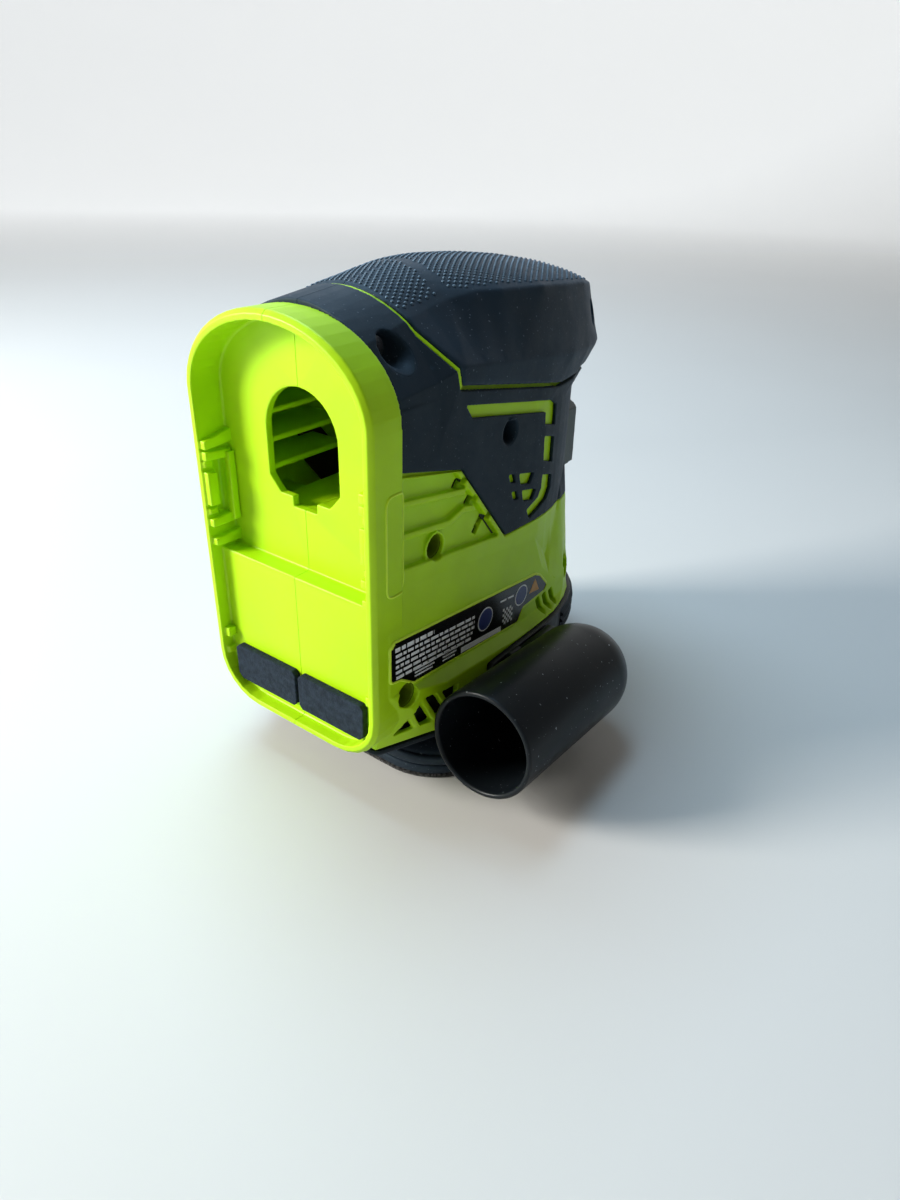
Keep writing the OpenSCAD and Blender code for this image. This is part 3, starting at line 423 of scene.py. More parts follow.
def sweep_loops(bm, loops, close_ends=True):
    """Joins a row of loops with equal point counts into a skin."""
    rings = [[bm.verts.new(p) for p in loop] for loop in loops]
    for low, high in zip(rings, rings[1:]):
        for i in range(len(low)):
            j = (i + 1) % len(low)
            bm.faces.new((low[i], low[j], high[j], high[i]))
    if close_ends:
        bm.faces.new(list(reversed(rings[0])))
        bm.faces.new(rings[-1])
    return rings


def inset_outline(points, d):
    """A closed outline of points moved by d to the left of its run, which is inwards
    for an outline that runs anticlockwise."""
    n = len(points)
    moved = []
    for i in range(n):
        before, here, after = Vector(points[i - 1]), Vector(points[i]), Vector(points[(i + 1) % n])
        run = (after - before).normalized()
        moved.append((here.x - run.y * d, here.y + run.x * d))
    return moved


def resampled(points, count):
    """A closed outline as evenly spaced points, its corners eased twice."""
    points = [Vector(p) for p in points]
    n = len(points)
    lengths = [(points[(i + 1) % n] - points[i]).length for i in range(n)]
    total = sum(lengths)
    out = []
    i, done = 0, 0.0
    for k in range(count):
        goal = total * k / count
        while done + lengths[i] < goal:
            done += lengths[i]
            i += 1
        t = (goal - done) / lengths[i]
        out.append(points[i].lerp(points[(i + 1) % n], t))
    for _ in range(2):
        out = [(out[k - 1] + out[k] * 2 + out[(k + 1) % count]) / 4 for k in range(count)]
    return [(p.x, p.y) for p in out]


def edge_loops(outline, profile):
    """Loops round an outline at (inset, height) pairs, all in millimetres."""
    return [[at(x, y, z) for x, y in inset_outline(outline, d)] for d, z in profile]


def slab(outline, profile, name, material):
    """A flat piece on an outline, with (inset, height) pairs up its edge."""
    bm = bmesh.new()
    sweep_loops(bm, edge_loops(outline, profile))
    return keep(bm, name, material)


def closed_ring(loops, name, material):
    """A ring-shaped piece whose last loop joins its first."""
    bm = bmesh.new()
    rings = sweep_loops(bm, loops, close_ends=False)
    for k in range(len(loops[0])):
        bm.faces.new((rings[-1][k - 1], rings[-1][k], rings[0][k], rings[0][k - 1]))
    return keep(bm, name, material)


def add_block(bm, side, outline, inner, outer):
    """Adds a block on a (y, z) outline, between two distances from the middle, in millimetres."""
    low, high = ([bm.verts.new(at(side * x, y, z)) for y, z in outline]
                 for x in (inner, outer))
    bm.faces.new(low)
    bm.faces.new(list(reversed(high)))
    for k in range(len(outline)):
        bm.faces.new((low[k - 1], high[k - 1], high[k], low[k]))


# ---- Moulded shells -------------------------------------------------------------------

# the palm grip's side, as (y, z) along the crease above it and its lower edge
GRIP_CREASE = [(-62, 154), (-27, 159.8), (3, 159), (38, 156.3), (60, 153), (77, 140)]
GRIP_EDGE = [(-62, 140), (-48, 142.6), (0, 137.3), (26, 134.8), (52, 132.6), (77, 131)]
ABOVE_EDGE, BELOW_CREASE = 2, 1.6
FLANK_REAR, FLANK_FRONT = -40, 66
NOSE_REAR, NOSE_LOW, NOSE_TOP = 16, 46.5, 73


def between(table, at):
    """A table's value at a place along it, held at its ends."""
    for (a, low), (b, high) in zip(table, table[1:]):
        if at <= b:
            return low + (high - low) * max(0.0, at - a) / (b - a)
    return table[-1][1]


def on_flank(y, z):
    """Whether a place is on the palm grip's side, between its crease and its lower edge."""
    low, top = between(GRIP_EDGE, y) + ABOVE_EDGE, between(GRIP_CREASE, y) - BELOW_CREASE
    return FLANK_REAR < y < FLANK_FRONT and low < z < top


def on_nose(y, z):
    """Whether a place is on the flare's front, between the covers and the label's height."""
    return y > NOSE_REAR and NOSE_LOW < z < NOSE_TOP


def eased(piece, chosen, passes):
    """Irons out the facets of a moulding where chosen(y, z) holds."""
    bm = bmesh.new()
    bm.from_mesh(piece.data)
    region = [v for v in bm.verts if chosen(v.co.y / MM, v.co.z / MM)]
    for _ in range(passes):
        bmesh.ops.smooth_vert(bm, verts=region, factor=0.5, use_axis_x=True, use_axis_y=True,
                              use_axis_z=True)
    bm.to_mesh(piece.data)
    bm.free()
    return piece


SIDES = (("right", 1), ("left", -1))
FLANK_PASSES, NOSE_PASSES = 90, 50
# CAD node, piece, material, slot, voxel in millimetres, smoothing passes, most triangles
MOULDINGS = [("housing_", "shell_", LIME, "shell_lime", 0.38, 1, 195000),
             ("side_cover_", "cover_", OVERMOULD, "soft_overmould", 0.33, 2, 120000),
             ("palm_grip_", "grip_", GRIP, "soft_overmould", 0.6, 6, 120000),
             ("accent_bead_", "bead_", LIME, "shell_lime", 0.25, 1, 40000)]
for word, sign in SIDES:
    for source, kept, look, slot, voxel, passes, faces in MOULDINGS:
        half = softened(past_seam(solid_of(source + word), sign), kept + word, look, voxel * MM,
                        passes, faces)
        if kept == "grip_":
            eased(half, on_flank, FLANK_PASSES)
        if kept == "shell_":
            eased(half, on_nose, NOSE_PASSES)
        on_body(cut_at_seam(half, sign), "housing", slot, source + word)

paddle = softened(solid_of("power_rocker"), "switch_paddle", SWITCH, 0.4 * MM, 3, 90000)
on_body(paddle, "rocker", "switch_grey", "power_rocker")
shroud = softened(solid_of("base_shroud"), "shroud", BLACK, 0.5 * MM, 2, 90000)
on_body(shroud, "housing", "black_plastic", "base_shroud")
latch = softened(solid_of("tube_latch"), "outlet_latch", BLACK, 0.25 * MM, 3, 20000)
on_body(latch, "housing", "black_plastic", "tube_latch")

for word, sign in SIDES:
    pad = softened(solid_of("battery_pad_" + word), "foam_strip_" + word, FOAM, 0.4 * MM, 2, 40000)
    on_body(pad, "housing", "foam", "battery_pad_" + word)


# ---- Latch frames in the rim ----------------------------------------------------------


def surface_tree(*meshes):
    """One tree of several meshes' faces, for finding points on their surface."""
    bm = bmesh.new()
    for mesh in meshes:
        bm.from_mesh(mesh)
    tree = BVHTree.FromBMesh(bm)
    bm.free()
    return tree


# Side views (y, z) of the bars round a latch pocket, and of a nub low on the rim
LATCH_SHAPES = [[(-89.9, 111.8), (-89.9, 114.6), (-78.9, 116.8), (-78.9, 112.6)],
                [(-89.5, 78.4), (-89.5, 80.8), (-78.9, 81.8), (-78.9, 77.4)],
                [(-89.9, 108.2), (-89.9, 111.0), (-79.7, 110.0), (-79.7, 107.4)],
                [(-89.9, 85.2), (-89.9, 87.8), (-79.7, 88.8), (-79.7, 85.2)],
                [(-82.2, 86.0), (-82.2, 109.6), (-79.5, 109.6), (-79.5, 86.0)],
                [(-89.9, 92.8), (-89.9, 104.2), (-86.2, 103.6), (-86.2, 92.6)],
                [(-89.2, 42.0), (-89.2, 45.4), (-85.8, 45.4), (-85.8, 42.0)]]
LATCH_STANDS, LATCH_SUNK = 2.4, 0.5  # how far a bar stands off the rim's inside, and is in it
LATCH_RAY_X, LATCH_RAY_Y = 20, -88
rim_tree = surface_tree(nodes["housing_right"].data)
for word, sign in SIDES:
    frames = bmesh.new()
    for shape in LATCH_SHAPES:
        inside_rim = at(LATCH_RAY_X, LATCH_RAY_Y, shape[0][1])
        wall = rim_tree.ray_cast(inside_rim, Vector((1, 0, 0)))[0].x / MM
        add_block(frames, sign, shape, wall - LATCH_STANDS, wall + LATCH_SUNK)
    frame_piece = keep(frames, "latch_frame_" + word, LIME)
    on_body(edge_rounded(frame_piece, 0.3 * MM, 2, 40), "housing", "shell_lime")


# ---- What stands on or in a surface ---------------------------------------------------


OUTSIDE, ABOUT_WALL = 90, 36  # distances from the middle: clear of the body, and near its side


def side_x(tree, side, y, z):
    """How far out a side surface is at (y, z), all in millimetres. Where a ray slips between
    two faces, the nearest point of the surface is taken."""
    hit = tree.ray_cast(at(side * OUTSIDE, y, z), Vector((-side, 0, 0)))[0]
    if hit is None:
        hit = tree.find_nearest(at(side * ABOUT_WALL, y, z))[0]
    return abs(hit.x) / MM


def screw_well(name, tree, side, y, z, depth, r, material, level=None):
    """Lining of a screw's well of radius r: a rounded lip, a short cone and a straight wall.
    The lip follows the surface, read at two radii and carried on to the well's edge, unless
    a level is given for it."""
    loops = [[] for _ in range(8)]
    for k in range(48):
        dy, dz = math.cos(math.tau * k / 48), math.sin(math.tau * k / 48)
        near, further = (side_x(tree, side, y + reach * dy, z + reach * dz)
                         for reach in (r + 0.9, r + 1.8))
        lip = level or 1.7 * near - 0.7 * further
        for loop, (radius, x) in zip(loops, ((r + 0.3, lip - 0.08), (r - 0.15, lip - 0.3),
                                             (0.92 * r, lip - 0.7), (0.74 * r, lip - 2.8),
                                             (0.72 * r, depth + 1.4), (1.5, depth + 1.2),
                                             (1.5, depth + 0.6), (r + 0.3, depth + 0.6))):
            loop.append(at(side * x, y + radius * dy, z + radius * dz))
    return on_body(closed_ring(loops, name, material), "housing", "soft_overmould")


# CAD node, piece, y, z, the floor's distance from the middle, radius, material
WELLS = [("side_cover_", "collar_well_", -68.6, 148.2, 18, 5.4, OVERMOULD),
         ("side_cover_", "cover_well_", -19.8, 116, 26, 4.5, OVERMOULD),
         ("palm_grip_", "grip_well_", 54, 143.5, 10, 4.5, GRIP)]
# a much darker copy of the lime lines the housing's screw wells: painted shade inside them
LIME_PAINTED_SHADE = moulded_plastic("lime_painted_shade_in_a_well", (0.1, 0.16, 0.001), 0.6, specular=0.1)
LIME_WELLS = [("panel_well_", -58, 87.5, 24), ("base_well_", -76, 41.5, 22)]
LIME_WELL_R, LEVEL_R = 4.0, 5.6
for word, sign in SIDES:
    for source, name, y, z, depth, r, look in WELLS:
        tree = surface_tree(nodes[source + word].data)
        screw_well(name + word, tree, sign, y, z, depth, r, look)
    tree = surface_tree(nodes["housing_" + word].data)
    for name, y, z, depth in LIME_WELLS:
        # steps and ribs run past these wells, so the lip is flat, at a low one of 12 readings
        levels = sorted(side_x(tree, sign, y + LEVEL_R * math.cos(math.tau * k / 12),
                               z + LEVEL_R * math.sin(math.tau * k / 12)) for k in range(12))
        screw_well(name + word, tree, sign, y, z, depth, LIME_WELL_R, LIME_PAINTED_SHADE, levels[3])


# dark blocks in the slots of the side panels, drawn as (y, z), with a dark block behind them:
# painted shade in the slots
PANEL_SLOTS = [[(-46.6, 107.4), (-43.8, 106.8), (-36.6, 98.8), (-40.2, 99.8)],
               [(-34.6, 95.4), (-31.6, 94.6), (-27.6, 90.4), (-30.4, 90.8)],
               [(-32.8, 90.2), (-29.6, 89.6), (-20.4, 79.6), (-24.2, 80.0)]]
SLOT_SHADE_LOW, SLOT_SHADE_TOP = -0.5, 0.32  # from the panel's floor
SHADE_BEHIND_SLOTS = [(-52, 110), (-49, 98), (-36, 82), (-22, 82), (-30, 96), (-42, 110)]
SHADE_BEHIND_SLOTS_X = (30.4, 31.0)
for word, sign in SIDES:
    floor_x = side_x(surface_tree(nodes["housing_" + word].data), sign, -62, 101)
    mesh = bmesh.new()
    for slot_shape in PANEL_SLOTS:
        add_block(mesh, sign, slot_shape, floor_x + SLOT_SHADE_LOW, floor_x + SLOT_SHADE_TOP)
    on_body(keep(mesh, "slot_shade_" + word, BLACK, smooth=False), "housing", "black_plastic")
# the dark block behind the slots is painted shade
for word, sign in SIDES:
    back_shade = bmesh.new()
    add_block(back_shade, sign, SHADE_BEHIND_SLOTS, *SHADE_BEHIND_SLOTS_X)
    on_body(keep(back_shade, "shade_behind_slots_" + word, BLACK, smooth=False), "housing", "black_plastic")


def round_path(points, step):
    """Points at about equal steps along the straight runs of a closed (y, z) outline."""
    out = []
    for a, b in zip(points, points[1:] + points[:1]):
        a, b = Vector(a), Vector(b)
        count = max(1, round((b - a).length / step))
        out += [a.lerp(b, k / count) for k in range(count)]
    return out


def rounded_path(points, r, steps=5):
    """A closed (y, z) outline with its corners rounded."""
    out = []
    for i in range(len(points)):
        before, here, after = (Vector(points[k % len(points)]) for k in (i - 1, i, i + 1))
        reach = min(r, (before - here).length / 2.2, (after - here).length / 2.2)
        a = here + (before - here).normalized() * reach
        b = here + (after - here).normalized() * reach
        out += [tuple(a.lerp(here, t).lerp(here.lerp(b, t), t)) for t in
                (k / steps for k in range(steps + 1))]
    return out


LINE_STEP = 0.8
LINE_SUNK = 0.25


def raised_line(name, tree, points, width, height, material, slot):
    """A low rounded line that follows a closed (y, z) path over the right side's surface."""
    path = round_path(points, LINE_STEP)
    n = len(path)
    loops = []
    for i in range(n):
        run = (path[(i + 1) % n] - path[i - 1]).normalized()
        across = Vector((-run.y, run.x))
        loop = []
        for side_way, rise in ((-0.5, -LINE_SUNK), (-0.42, 0.55 * height), (0.0, height),
                               (0.42, 0.55 * height), (0.5, -LINE_SUNK)):
            spot = path[i] + across * (side_way * width)
            loop.append(at(side_x(tree, 1, spot.x, spot.y) + rise, spot.x, spot.y))
        loops.append(loop)
    return on_body(closed_ring(loops, name, material), "housing", slot)


INK_LIFT, INK_THICK = 0.05, 0.12


def printed(bm, tree, corners, lift=INK_LIFT):
    """A thin flat mark on the label, with its face this far off the film."""
    front = [bm.verts.new(at(side_x(tree, 1, y, z) + lift, y, z)) for y, z in corners]
    behind = [bm.verts.new(v.co - at(INK_THICK, 0, 0)) for v in front]
    bm.faces.new(front)
    bm.faces.new(list(reversed(behind)))
    for k in range(len(corners)):
        bm.faces.new((front[k - 1], front[k], behind[k], behind[k - 1]))


body_tree = surface_tree(nodes["housing_right"].data, nodes["rating_label"].data)
LABEL_SLOPE = -0.122  # the label's rows run down towards the front


def bar(bm, y, z, length, height):
    """A bar along the label's rows, from its lower rear corner."""
    far_z = z + LABEL_SLOPE * length
    printed(bm, body_tree, [(y, z), (y + length, far_z), (y + length, far_z + height),
                            (y, z + height)])


def disc(bm, y, z, r, lift=INK_LIFT, sides=28):
    """A round mark on the label."""
    ring = [(y + r * math.cos(math.tau * k / sides), z + r * math.sin(math.tau * k / sides))
            for k in range(sides)]
    printed(bm, body_tree, ring, lift)


WORD_LENGTHS, WORD_GAP = (1.4, 4.6), 0.75
TEXT_ROWS = [(-81.8, -62.0), (-81.6, -38.5), (-81.6, -38.5), (-81.6, -38.5), (-81.6, -39.5),
             (-81.4, -40.5)]
DISCS = [(-31.6, 50.0, 4.7), (-7.4, 49.4, 4.3)]
marks = bmesh.new()
# a heading and rows of text, as bars of a word's length
for row, (y_start, y_end) in enumerate(TEXT_ROWS):
    y = y_start
    while y < y_end:
        word_length = min(random.uniform(*WORD_LENGTHS), y_end - y)
        bar(marks, y, 61.4 - 2.05 * row + LABEL_SLOPE * (y + 82) - 0.5, word_length,
            1.5 if row == 0 else 1.1)
        y += word_length + WORD_GAP
# two short blocks of fine print, and a long bar at the foot
for y_start, y_end in ((-72.0, -60.5), (-57.0, -48.0)):
    for row in range(3):
        bar(marks, y_start, 49.3 + LABEL_SLOPE * (y_start + 72) - 1.3 * row, y_end - y_start - row,
            0.6)
bar(marks, -46.2, 42.9, 25.5, 2.2)
# a plain chequered patch with two dashes above it
for column in range(6):
    for row in range(6):
        if (column + row) % 2:
            bar(marks, -19.9 + 1.15 * column, 41.9 - 0.14 * column + 1.15 * row, 1.1, 1.1)
bar(marks, -22.0, 52.4, 4.0, 0.7)
bar(marks, -17.0, 51.8, 4.0, 0.7)
# two plain discs, pale round a blue middle, and a triangle
for y, z, r in DISCS:
    disc(marks, y, z, r)
on_body(keep(marks, "label_marks", PRINT, smooth=False), "housing", "label")
blues = bmesh.new()
for y, z, r in DISCS:
    disc(blues, y, z, r - 0.5, 2 * INK_LIFT)
on_body(keep(blues, "label_discs", DISC_BLUE, smooth=False), "housing", "label")
amber = bmesh.new()
printed(amber, body_tree, [(-1.4, 47.4), (6.0, 46.5), (2.4, 52.6)])
on_body(keep(amber, "label_mark_amber", AMBER, smooth=False), "housing", "label")

# the label's edge runs clockwise, so its left is outwards
LABEL_EDGE = [(-83.4, 50.4), (-83.4, 63), (-82.6, 64.2), (3, 53.8), (6, 52.2), (12, 46),
              (10.6, 44.4), (-5.4, 43.4), (-8.6, 38.4), (-72.5, 45.2), (-78.6, 49.6)]
label_frame = inset_outline(LABEL_EDGE, 0.55)
# the raised lines are a paler lime: painted highlight along their tops
raised_line("label_border", body_tree, rounded_path(label_frame, 1.2), 1.1, 0.55, LIME_PAINTED_HIGHLIGHT,
            "shell_lime")
raised_line("side_badge_line", body_tree,
            rounded_path([(-84.7, 80.5), (-75.8, 80.5), (-75.8, 112.8), (-84.7, 112.8)], 3.4),
            0.8, 0.45, LIME_PAINTED_HIGHLIGHT, "shell_lime")


# ---- Palm grip's raised dots ----------------------------------------------------------


DOT_SUNK = 0.15


def add_dot(bm, place, normal, radius, height):
    """A low dome on a surface, with its foot a little below it."""
    turn = normal.to_track_quat("Z", "Y").to_matrix()
    rings = []
    for spread, rise in ((1.0, -DOT_SUNK * MM), (0.9, 0.45 * height), (0.5, height)):
        rings.append([bm.verts.new(place + turn @ Vector((
            spread * radius * math.cos(a), spread * radius * math.sin(a), rise)))
            for a in (math.tau * k / 8 for k in range(8))])
    for low, high in zip(rings, rings[1:]):
        for k in range(8):
            bm.faces.new((low[k - 1], low[k], high[k], high[k - 1]))
    bm.faces.new(rings[-1])
    bm.faces.new(list(reversed(rings[0])))


# half width of the dotted zone, as (y, x) along the grip
DOT_ZONE = [(-57, 20.5), (-38, 20.5), (-27, 23.5), (-17, 26.5), (3, 29.6), (20, 28.6), (38, 26),
            (56, 19.5), (68, 11.5), (73, 3)]
SADDLE_BAND, SADDLE_SWEEP = (-34.5, -29.5), 0.28  # a smooth band that swings back to the sides
DOT_R, DOT_HEIGHT, DOT_PITCH = 0.55, 0.45, 2.0
ROW_STEP = DOT_PITCH * 0.87
FIRST_ROW, ROWS_RUN, MIDDLE_GAP = -56.6, 130, 0.9
ABOVE_GRIP, LOWEST_DOT, STEEPEST = 190, 0.148, 0.35
for word, sign in SIDES:
    tree = surface_tree(bpy.data.objects["grip_" + word].data)
    dots = bmesh.new()
    for row in range(int(ROWS_RUN / ROW_STEP)):
        y = FIRST_ROW + row * ROW_STEP
        for column in range(16):
            x = sign * (MIDDLE_GAP + DOT_PITCH * (column + 0.5 * (row % 2)))
            if abs(x) > between(DOT_ZONE, y):
                continue
            place, normal, _, _ = tree.ray_cast(at(x, y, ABOVE_GRIP), Vector((0, 0, -1)))
            if place is None or normal.z < STEEPEST or place.z < LOWEST_DOT:
                continue
            if SADDLE_BAND[0] < place.y / MM + SADDLE_SWEEP * abs(x) < SADDLE_BAND[1]:
                continue
            add_dot(dots, place, normal, DOT_R * MM, DOT_HEIGHT * MM)
    on_body(keep(dots, "grip_dots_" + word, DOTS_PAINTED_HIGHLIGHT), "housing", "soft_overmould")


# ---- Dust tube ------------------------------------------------------------------------

TUBE_R, TUBE_BORE_R, TUBE_LEN = 19.0, 17.0, 63.0
LIP_R = (TUBE_R - TUBE_BORE_R) / 2
tube_frame = (Matrix.Translation(Vector((65.1, -71.4, 30.9)) * MM)
              @ Matrix.Rotation(math.radians(-0.7), 4, "Z")
              @ Matrix.Rotation(math.radians(-94.6), 4, "X"))


def revolved(profile, segments, frame_matrix):
    """A closed (radius, height) profile in millimetres turned about the frame's Z axis."""
    bm = bmesh.new()
    rings = []
    angles = [math.tau * k / segments for k in range(segments)]
    for r, z in profile:
        if r == 0:
            rings.append([bm.verts.new(frame_matrix @ at(0, 0, z))] * segments)
        else:
            rings.append([bm.verts.new(frame_matrix @ at(r * math.cos(a), r * math.sin(a), z))
                          for a in angles])
    for low, high in zip(rings, rings[1:] + rings[:1]):
        for k in range(segments):
            j = (k + 1) % segments
            corners = []
            for v in (low[k], low[j], high[j], high[k]):
                if v not in corners:
                    corners.append(v)
            if len(corners) > 2:
                bm.faces.new(corners)
    return bm


def arc_points(cx, cy, rx, ry, start, stop, steps):
    """Points along part of an ellipse, from one angle in degrees to another."""
    return [(cx + rx * math.cos(math.radians(start + (stop - start) * k / steps)),
             cy + ry * math.sin(math.radians(start + (stop - start) * k / steps)))
            for k in range(steps + 1)]


def box_bm(low, high):
    """A box between two corners in millimetres."""
    bm = bmesh.new()
    bmesh.ops.create_cube(bm, size=1.0)
    size = [(h - l) * MM for l, h in zip(low, high)]
    middle_of = [(h + l) / 2 * MM for l, h in zip(low, high)]
    bmesh.ops.scale(bm, vec=size, verts=bm.verts)
    bmesh.ops.translate(bm, vec=middle_of, verts=bm.verts)
    return bm


def cylinder_bm(r, low, high, x=0.0, y=0.0, segments=64):
    """An upright cylinder in millimetres."""
    bm = bmesh.new()
    bmesh.ops.create_cone(bm, cap_ends=True, segments=segments, radius1=r * MM, radius2=r * MM,
                          depth=(high - low) * MM,
                          matrix=Matrix.Translation((x * MM, y * MM, (low + high) / 2 * MM)))
    return bm


def combined(piece, operation, bm):
    """Joins a solid to a piece or cuts it away, exactly."""
    tool = keep(bm, "tool", piece.data.materials[0])
    cut = piece.modifiers.new("cut", "BOOLEAN")
    cut.operation = operation
    cut.solver = "EXACT"
    cut.object = tool
    applied(piece)
    bpy.data.objects.remove(tool)
    return piece


def flats_kept(piece, angle=30):
    """Smooth shading that keeps edges sharper than the angle."""
    for face in piece.data.polygons:
        face.use_smooth = True
    piece.data.set_sharp_from_angle(angle=math.radians(angle))
    return piece


tube_profile = (arc_points(0, TUBE_LEN, TUBE_BORE_R, TUBE_BORE_R, 90, 0, 16)
                + arc_points(TUBE_BORE_R + LIP_R, LIP_R, LIP_R, LIP_R, 180, 360, 8)
                + arc_points(0, TUBE_LEN, TUBE_R, TUBE_R, 0, 90, 18))
tube_profile[0] = (0.0, TUBE_LEN + TUBE_BORE_R)  # the domes end exactly on the axis
tube_profile[-1] = (0.0, TUBE_LEN + TUBE_R)
TUBE_SIDES = 144 if FINE else 64
tube = keep(revolved(tube_profile, TUBE_SIDES, tube_frame), "outlet_tube", TUBE_BLACK)
duct = keep(box_bm((44.4, -17.8, 20.2), (48.7, 5.8, 33.2)), "duct", TUBE_BLACK)
combined(tube, "UNION", as_solid(edge_rounded(duct, 1.2 * MM, 3)))
combined(tube, "DIFFERENCE", box_bm((40, -16, 22), (56, 4, 31.4)))  # the duct's passage
flats_kept(tube, 32)
on_body(tube, "housing", "black_plastic", "dust_tube")


# ---- Pad ------------------------------------------------------------------------------

PAD_REAR, PAD_HALF, PAD_LEN, PAD_CORNER = -70.0, 52.2, 140.0, 26.0
SIDE_SWING, SIDE_SHORT = 66, 4  # the sides are long arcs about a middle on the other side
NOSE_R = 7.2
PAD_POINTS = 300 if FINE else 120


def mirrored(points):
    """Points and their mirror image, in an order that closes into one outline."""
    return points + [(-x, y) for x, y in reversed(points)]


pad_outline = resampled(mirrored(
    arc_points(PAD_HALF - PAD_CORNER, PAD_REAR + PAD_CORNER, PAD_CORNER, PAD_CORNER, -90, 0, 14)
    + arc_points(-SIDE_SWING, PAD_REAR + PAD_CORNER, PAD_HALF + SIDE_SWING,
                 PAD_LEN - PAD_CORNER - SIDE_SHORT, 8, 50, 14)
    + arc_points(0, PAD_LEN / 2 - NOSE_R, NOSE_R, NOSE_R, 34, 88, 8)), PAD_POINTS)

hook = slab(pad_outline, [(0.5, 0), (0.15, 0.15), (0, 0.5), (0.05, 1.1), (0.35, 1.4)],
            "pad_hook_face", HOOKS)
on_body(flats_kept(hook, 50), "pad", "hook_fabric", "hook_face")
cushion = slab(pad_outline, [(1.0, 1.42), (0.6, 1.55), (0.42, 2.1), (0.4, 3.0), (0.5, 3.9),
                             (0.8, 4.4), (1.4, 4.6)], "pad_foam_layer", PAD_BLACK)
on_body(flats_kept(cushion, 50), "pad", "black_rubber", "pad_cushion")

RIM_PROFILE = [(2.4, 5.0), (1.1, 5.0), (0.75, 5.25), (0.6, 5.9), (0.6, 7.6), (0.8, 8.3),
               (1.3, 8.6), (2.4, 8.6)]
rim = closed_ring(edge_loops(pad_outline, RIM_PROFILE), "pad_rim_band", PAD_BLACK)
on_body(flats_kept(rim, 50), "pad", "black_rubber", "pad_rim")

POST_PLACES = [(30, -46), (-30, -46), (17, 36), (-17, 36)]
THROW = 0.8  # the pad's middle is this far off the motor's axis
platen = slab(pad_outline, [(2.9, 4.62), (2.5, 4.9), (2.42, 8.4), (2.7, 9.1), (3.6, 9.9),
                            (5.6, 11.1), (8.6, 12.2), (12.0, 12.9), (15.4, 13.2)],
              "pad_plate", PAD_BLACK)
for x, y, r, top in [(0, 0, 16, 22)] + [(x, y, 8, 17) for x, y in POST_PLACES]:
    boss = keep(cylinder_bm(r, 9, top, x + THROW, y), "boss", PAD_BLACK)
    combined(platen, "UNION", as_solid(edge_rounded(boss, 0.6 * MM, 3)))
combined(platen, "DIFFERENCE", cylinder_bm(13.02, 12.3, 40, THROW))  # the bearing's seat
combined(platen, "DIFFERENCE", cylinder_bm(9, 6, 14, THROW))
for x, y in POST_PLACES:
    combined(platen, "DIFFERENCE", cylinder_bm(6.3, 10, 40, x + THROW, y))  # a post's socket
on_body(flats_kept(platen, 40), "pad", "black_plastic", "pad_platen")


# ---- Bellows between the shroud and the pad ---------------------------------------------

BASE_HALF = 42.5
base_outline = resampled(mirrored([
    (31.7, -84), (BASE_HALF, -58.8), (BASE_HALF, 4), (42, 14), (39.6, 26), (35.8, 36), (29.5, 46),
    (22, 54), (13, 61), (5, 66)]), 220)


def open_bellows(outline, profile, name, material, inside):
    """A pleated wall along the part of an outline where inside(x, y) holds."""
    run = [k for k in range(len(outline)) if inside(*outline[k])]
    start = next(k for k in run if (k - 1) % len(outline) not in run)
    order = [(start + i) % len(outline) for i in range(len(run))]
    bm = bmesh.new()
    columns = []
    loops = [inset_outline(outline, d) for d, _ in profile]
    for k in order:
        columns.append([bm.verts.new(at(*loop[k], z)) for loop, (_, z) in zip(loops, profile)])
    for a, b in zip(columns, columns[1:]):
        for i in range(len(profile)):
            j = (i + 1) % len(profile)
            bm.faces.new((a[i], b[i], b[j], a[j]))
    bm.faces.new(columns[0])
    bm.faces.new(list(reversed(columns[-1])))
    return keep(bm, name, material)


# three fins, as (inset, height) pairs
FIN_PROFILE = [(-1.65, 22.4)]
for fin in range(3):
    z = 24.0 + 3.1 * fin
    FIN_PROFILE += [(-1.9, z - 0.9), (-2.75, z - 0.5), (-3.0, z), (-2.75, z + 0.5),
                    (-1.9, z + 0.9)]
FIN_PROFILE += [(-1.65, 32.4), (-1.62, 32.4), (-1.62, 22.4)]


def beside_outlet(x, y):
    """Where the bellows is: ahead of the rear feet, and clear of the tube's duct."""
    return y > -30 and not (x > 30 and y < 18)


bellows = open_bellows(base_outline, FIN_PROFILE, "bellows", SEAL_BLACK, beside_outlet)
on_body(flats_kept(bellows, 70), "housing", "black_rubber", "skirt_seal")
lip = slab(base_outline, [(3.5, 16.45), (1.0, 16.5), (0.2, 17.0), (0.0, 17.8), (0.4, 18.6),
                          (2.5, 18.9)], "seal_lip", SEAL_BLACK)
combined(lip, "DIFFERENCE", cylinder_bm(30, 10, 30))
on_body(flats_kept(lip, 50), "housing", "black_rubber")


# ---- Studio ---------------------------------------------------------------------------


def area_light(name, place, aim, size, power, colour):
    """A square lamp at a place, turned towards another."""
    lamp = bpy.data.lights.new(name, "AREA")
    lamp.size = size
    lamp.energy = power
    lamp.color = colour
    ob = bpy.data.objects.new(name, lamp)
    ob.location = place
    ob.rotation_euler = (Vector(aim) - Vector(place)).to_track_quat("-Z", "Y").to_euler()
    bpy.context.scene.collection.objects.link(ob)


MIDDLE = (0.0, -0.01, 0.08)
area_light("key", (-0.72, -0.8, 0.5), MIDDLE, 0.34, 19.0, (1.0, 0.98, 0.93))
area_light("sky", (-0.4, 0.1, 1.05), MIDDLE, 0.6, 9.0, (0.52, 0.77, 1.0))

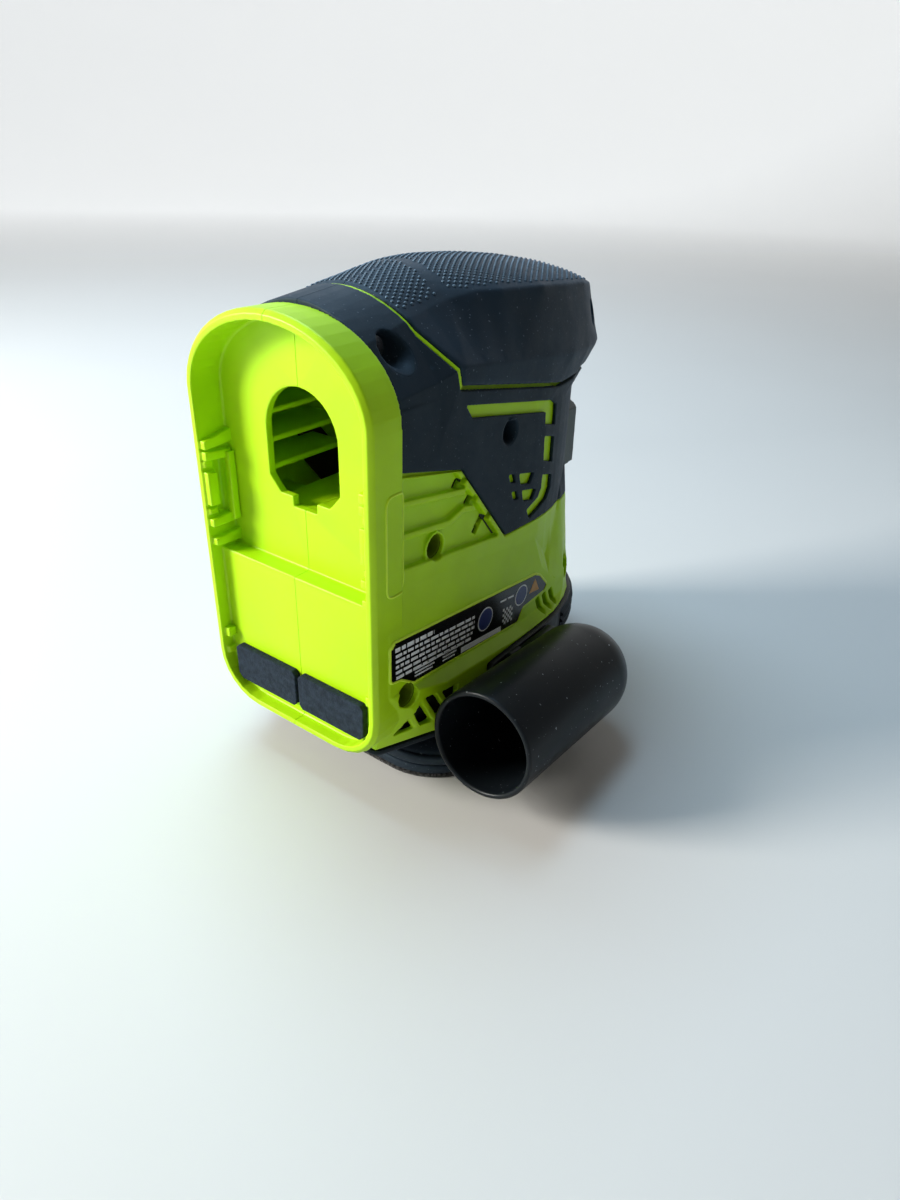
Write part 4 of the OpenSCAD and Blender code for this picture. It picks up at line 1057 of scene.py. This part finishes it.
world = bpy.data.worlds.new("studio")
world.use_nodes = True
world.node_tree.nodes["Background"].inputs["Color"].default_value = (1.0, 0.95, 0.88, 1.0)
world.node_tree.nodes["Background"].inputs["Strength"].default_value = 0.07
bpy.context.scene.world = world
bpy.context.scene.view_settings.view_transform = "Standard"

# a round floor that turns up into a wall, and glows softly away from the camera
CENTRE_R, FLOOR_R, BEND_R, WALL_TOP = 0.02, 2.4, 1.2, 3.2
FLOOR_SIDES = 96
BELOW_PART = 0.0002
AWAY = (-0.8, 0.6, 0.0)
stage_profile = ([(CENTRE_R, 0.0), (FLOOR_R, 0.0)]
                 + [(FLOOR_R + BEND_R * math.sin(math.radians(a)),
                     BEND_R * (1 - math.cos(math.radians(a)))) for a in range(10, 91, 10)]
                 + [(FLOOR_R + BEND_R, WALL_TOP)])
floor_bm = bmesh.new()
floor_angles = [math.tau * k / FLOOR_SIDES for k in range(FLOOR_SIDES)]
floor_rings = sweep_loops(floor_bm, [[(r * math.cos(a), r * math.sin(a), z) for a in floor_angles]
                                     for r, z in stage_profile], close_ends=False)
floor_bm.faces.new(list(reversed(floor_rings[0])))
floor_shader = Shader("floor", 0.9, specular=0.1)
floor_tone = floor_shader.mix(floor_shader.noise(0.3, 2.0), (0.68, 0.665, 0.64),
                              (0.72, 0.705, 0.68))
away = floor_shader.nodes.new("ShaderNodeVectorMath")
away.operation = "DOT_PRODUCT"
away.inputs[1].default_value = AWAY
floor_shader.links.new(floor_shader.place, away.inputs[0])
glow = floor_shader.spread(away.outputs["Value"], 0.25, 2.4, 0.0, 0.6)
floor_shader.surface.inputs["Emission Color"].default_value = (0.93, 0.97, 1.0, 1.0)
floor_shader.links.new(glow, floor_shader.surface.inputs["Emission Strength"])
floor = keep(floor_bm, "floor", floor_shader.done(floor_tone))
floor.location.z = cad_box[0][2] - BELOW_PART

AZIMUTH, ELEVATION, ROLL = (math.radians(a) for a in (35.67, 29.55, 1.92))
CAMERA_PLACE = (0.1744, -0.2428, 0.1995)
LENS, SENSOR = 24.34, 36.0
back = Vector((math.sin(AZIMUTH) * math.cos(ELEVATION), -math.cos(AZIMUTH) * math.cos(ELEVATION),
               math.sin(ELEVATION)))
right = Vector((0, 0, 1)).cross(back).normalized()
up = back.cross(right)
right, up = (math.cos(ROLL) * right + math.sin(ROLL) * up,
             math.cos(ROLL) * up - math.sin(ROLL) * right)
camera_data = bpy.data.cameras.new("camera")
camera_data.lens = LENS
camera_data.sensor_width = SENSOR
camera_data.clip_start = 0.01
camera = bpy.data.objects.new("camera", camera_data)
camera.matrix_world = Matrix.Translation(CAMERA_PLACE) @ Matrix(
    (right, up, back)).transposed().to_4x4()
bpy.context.scene.collection.objects.link(camera)
bpy.context.scene.camera = camera

bpy.context.view_layer.update()
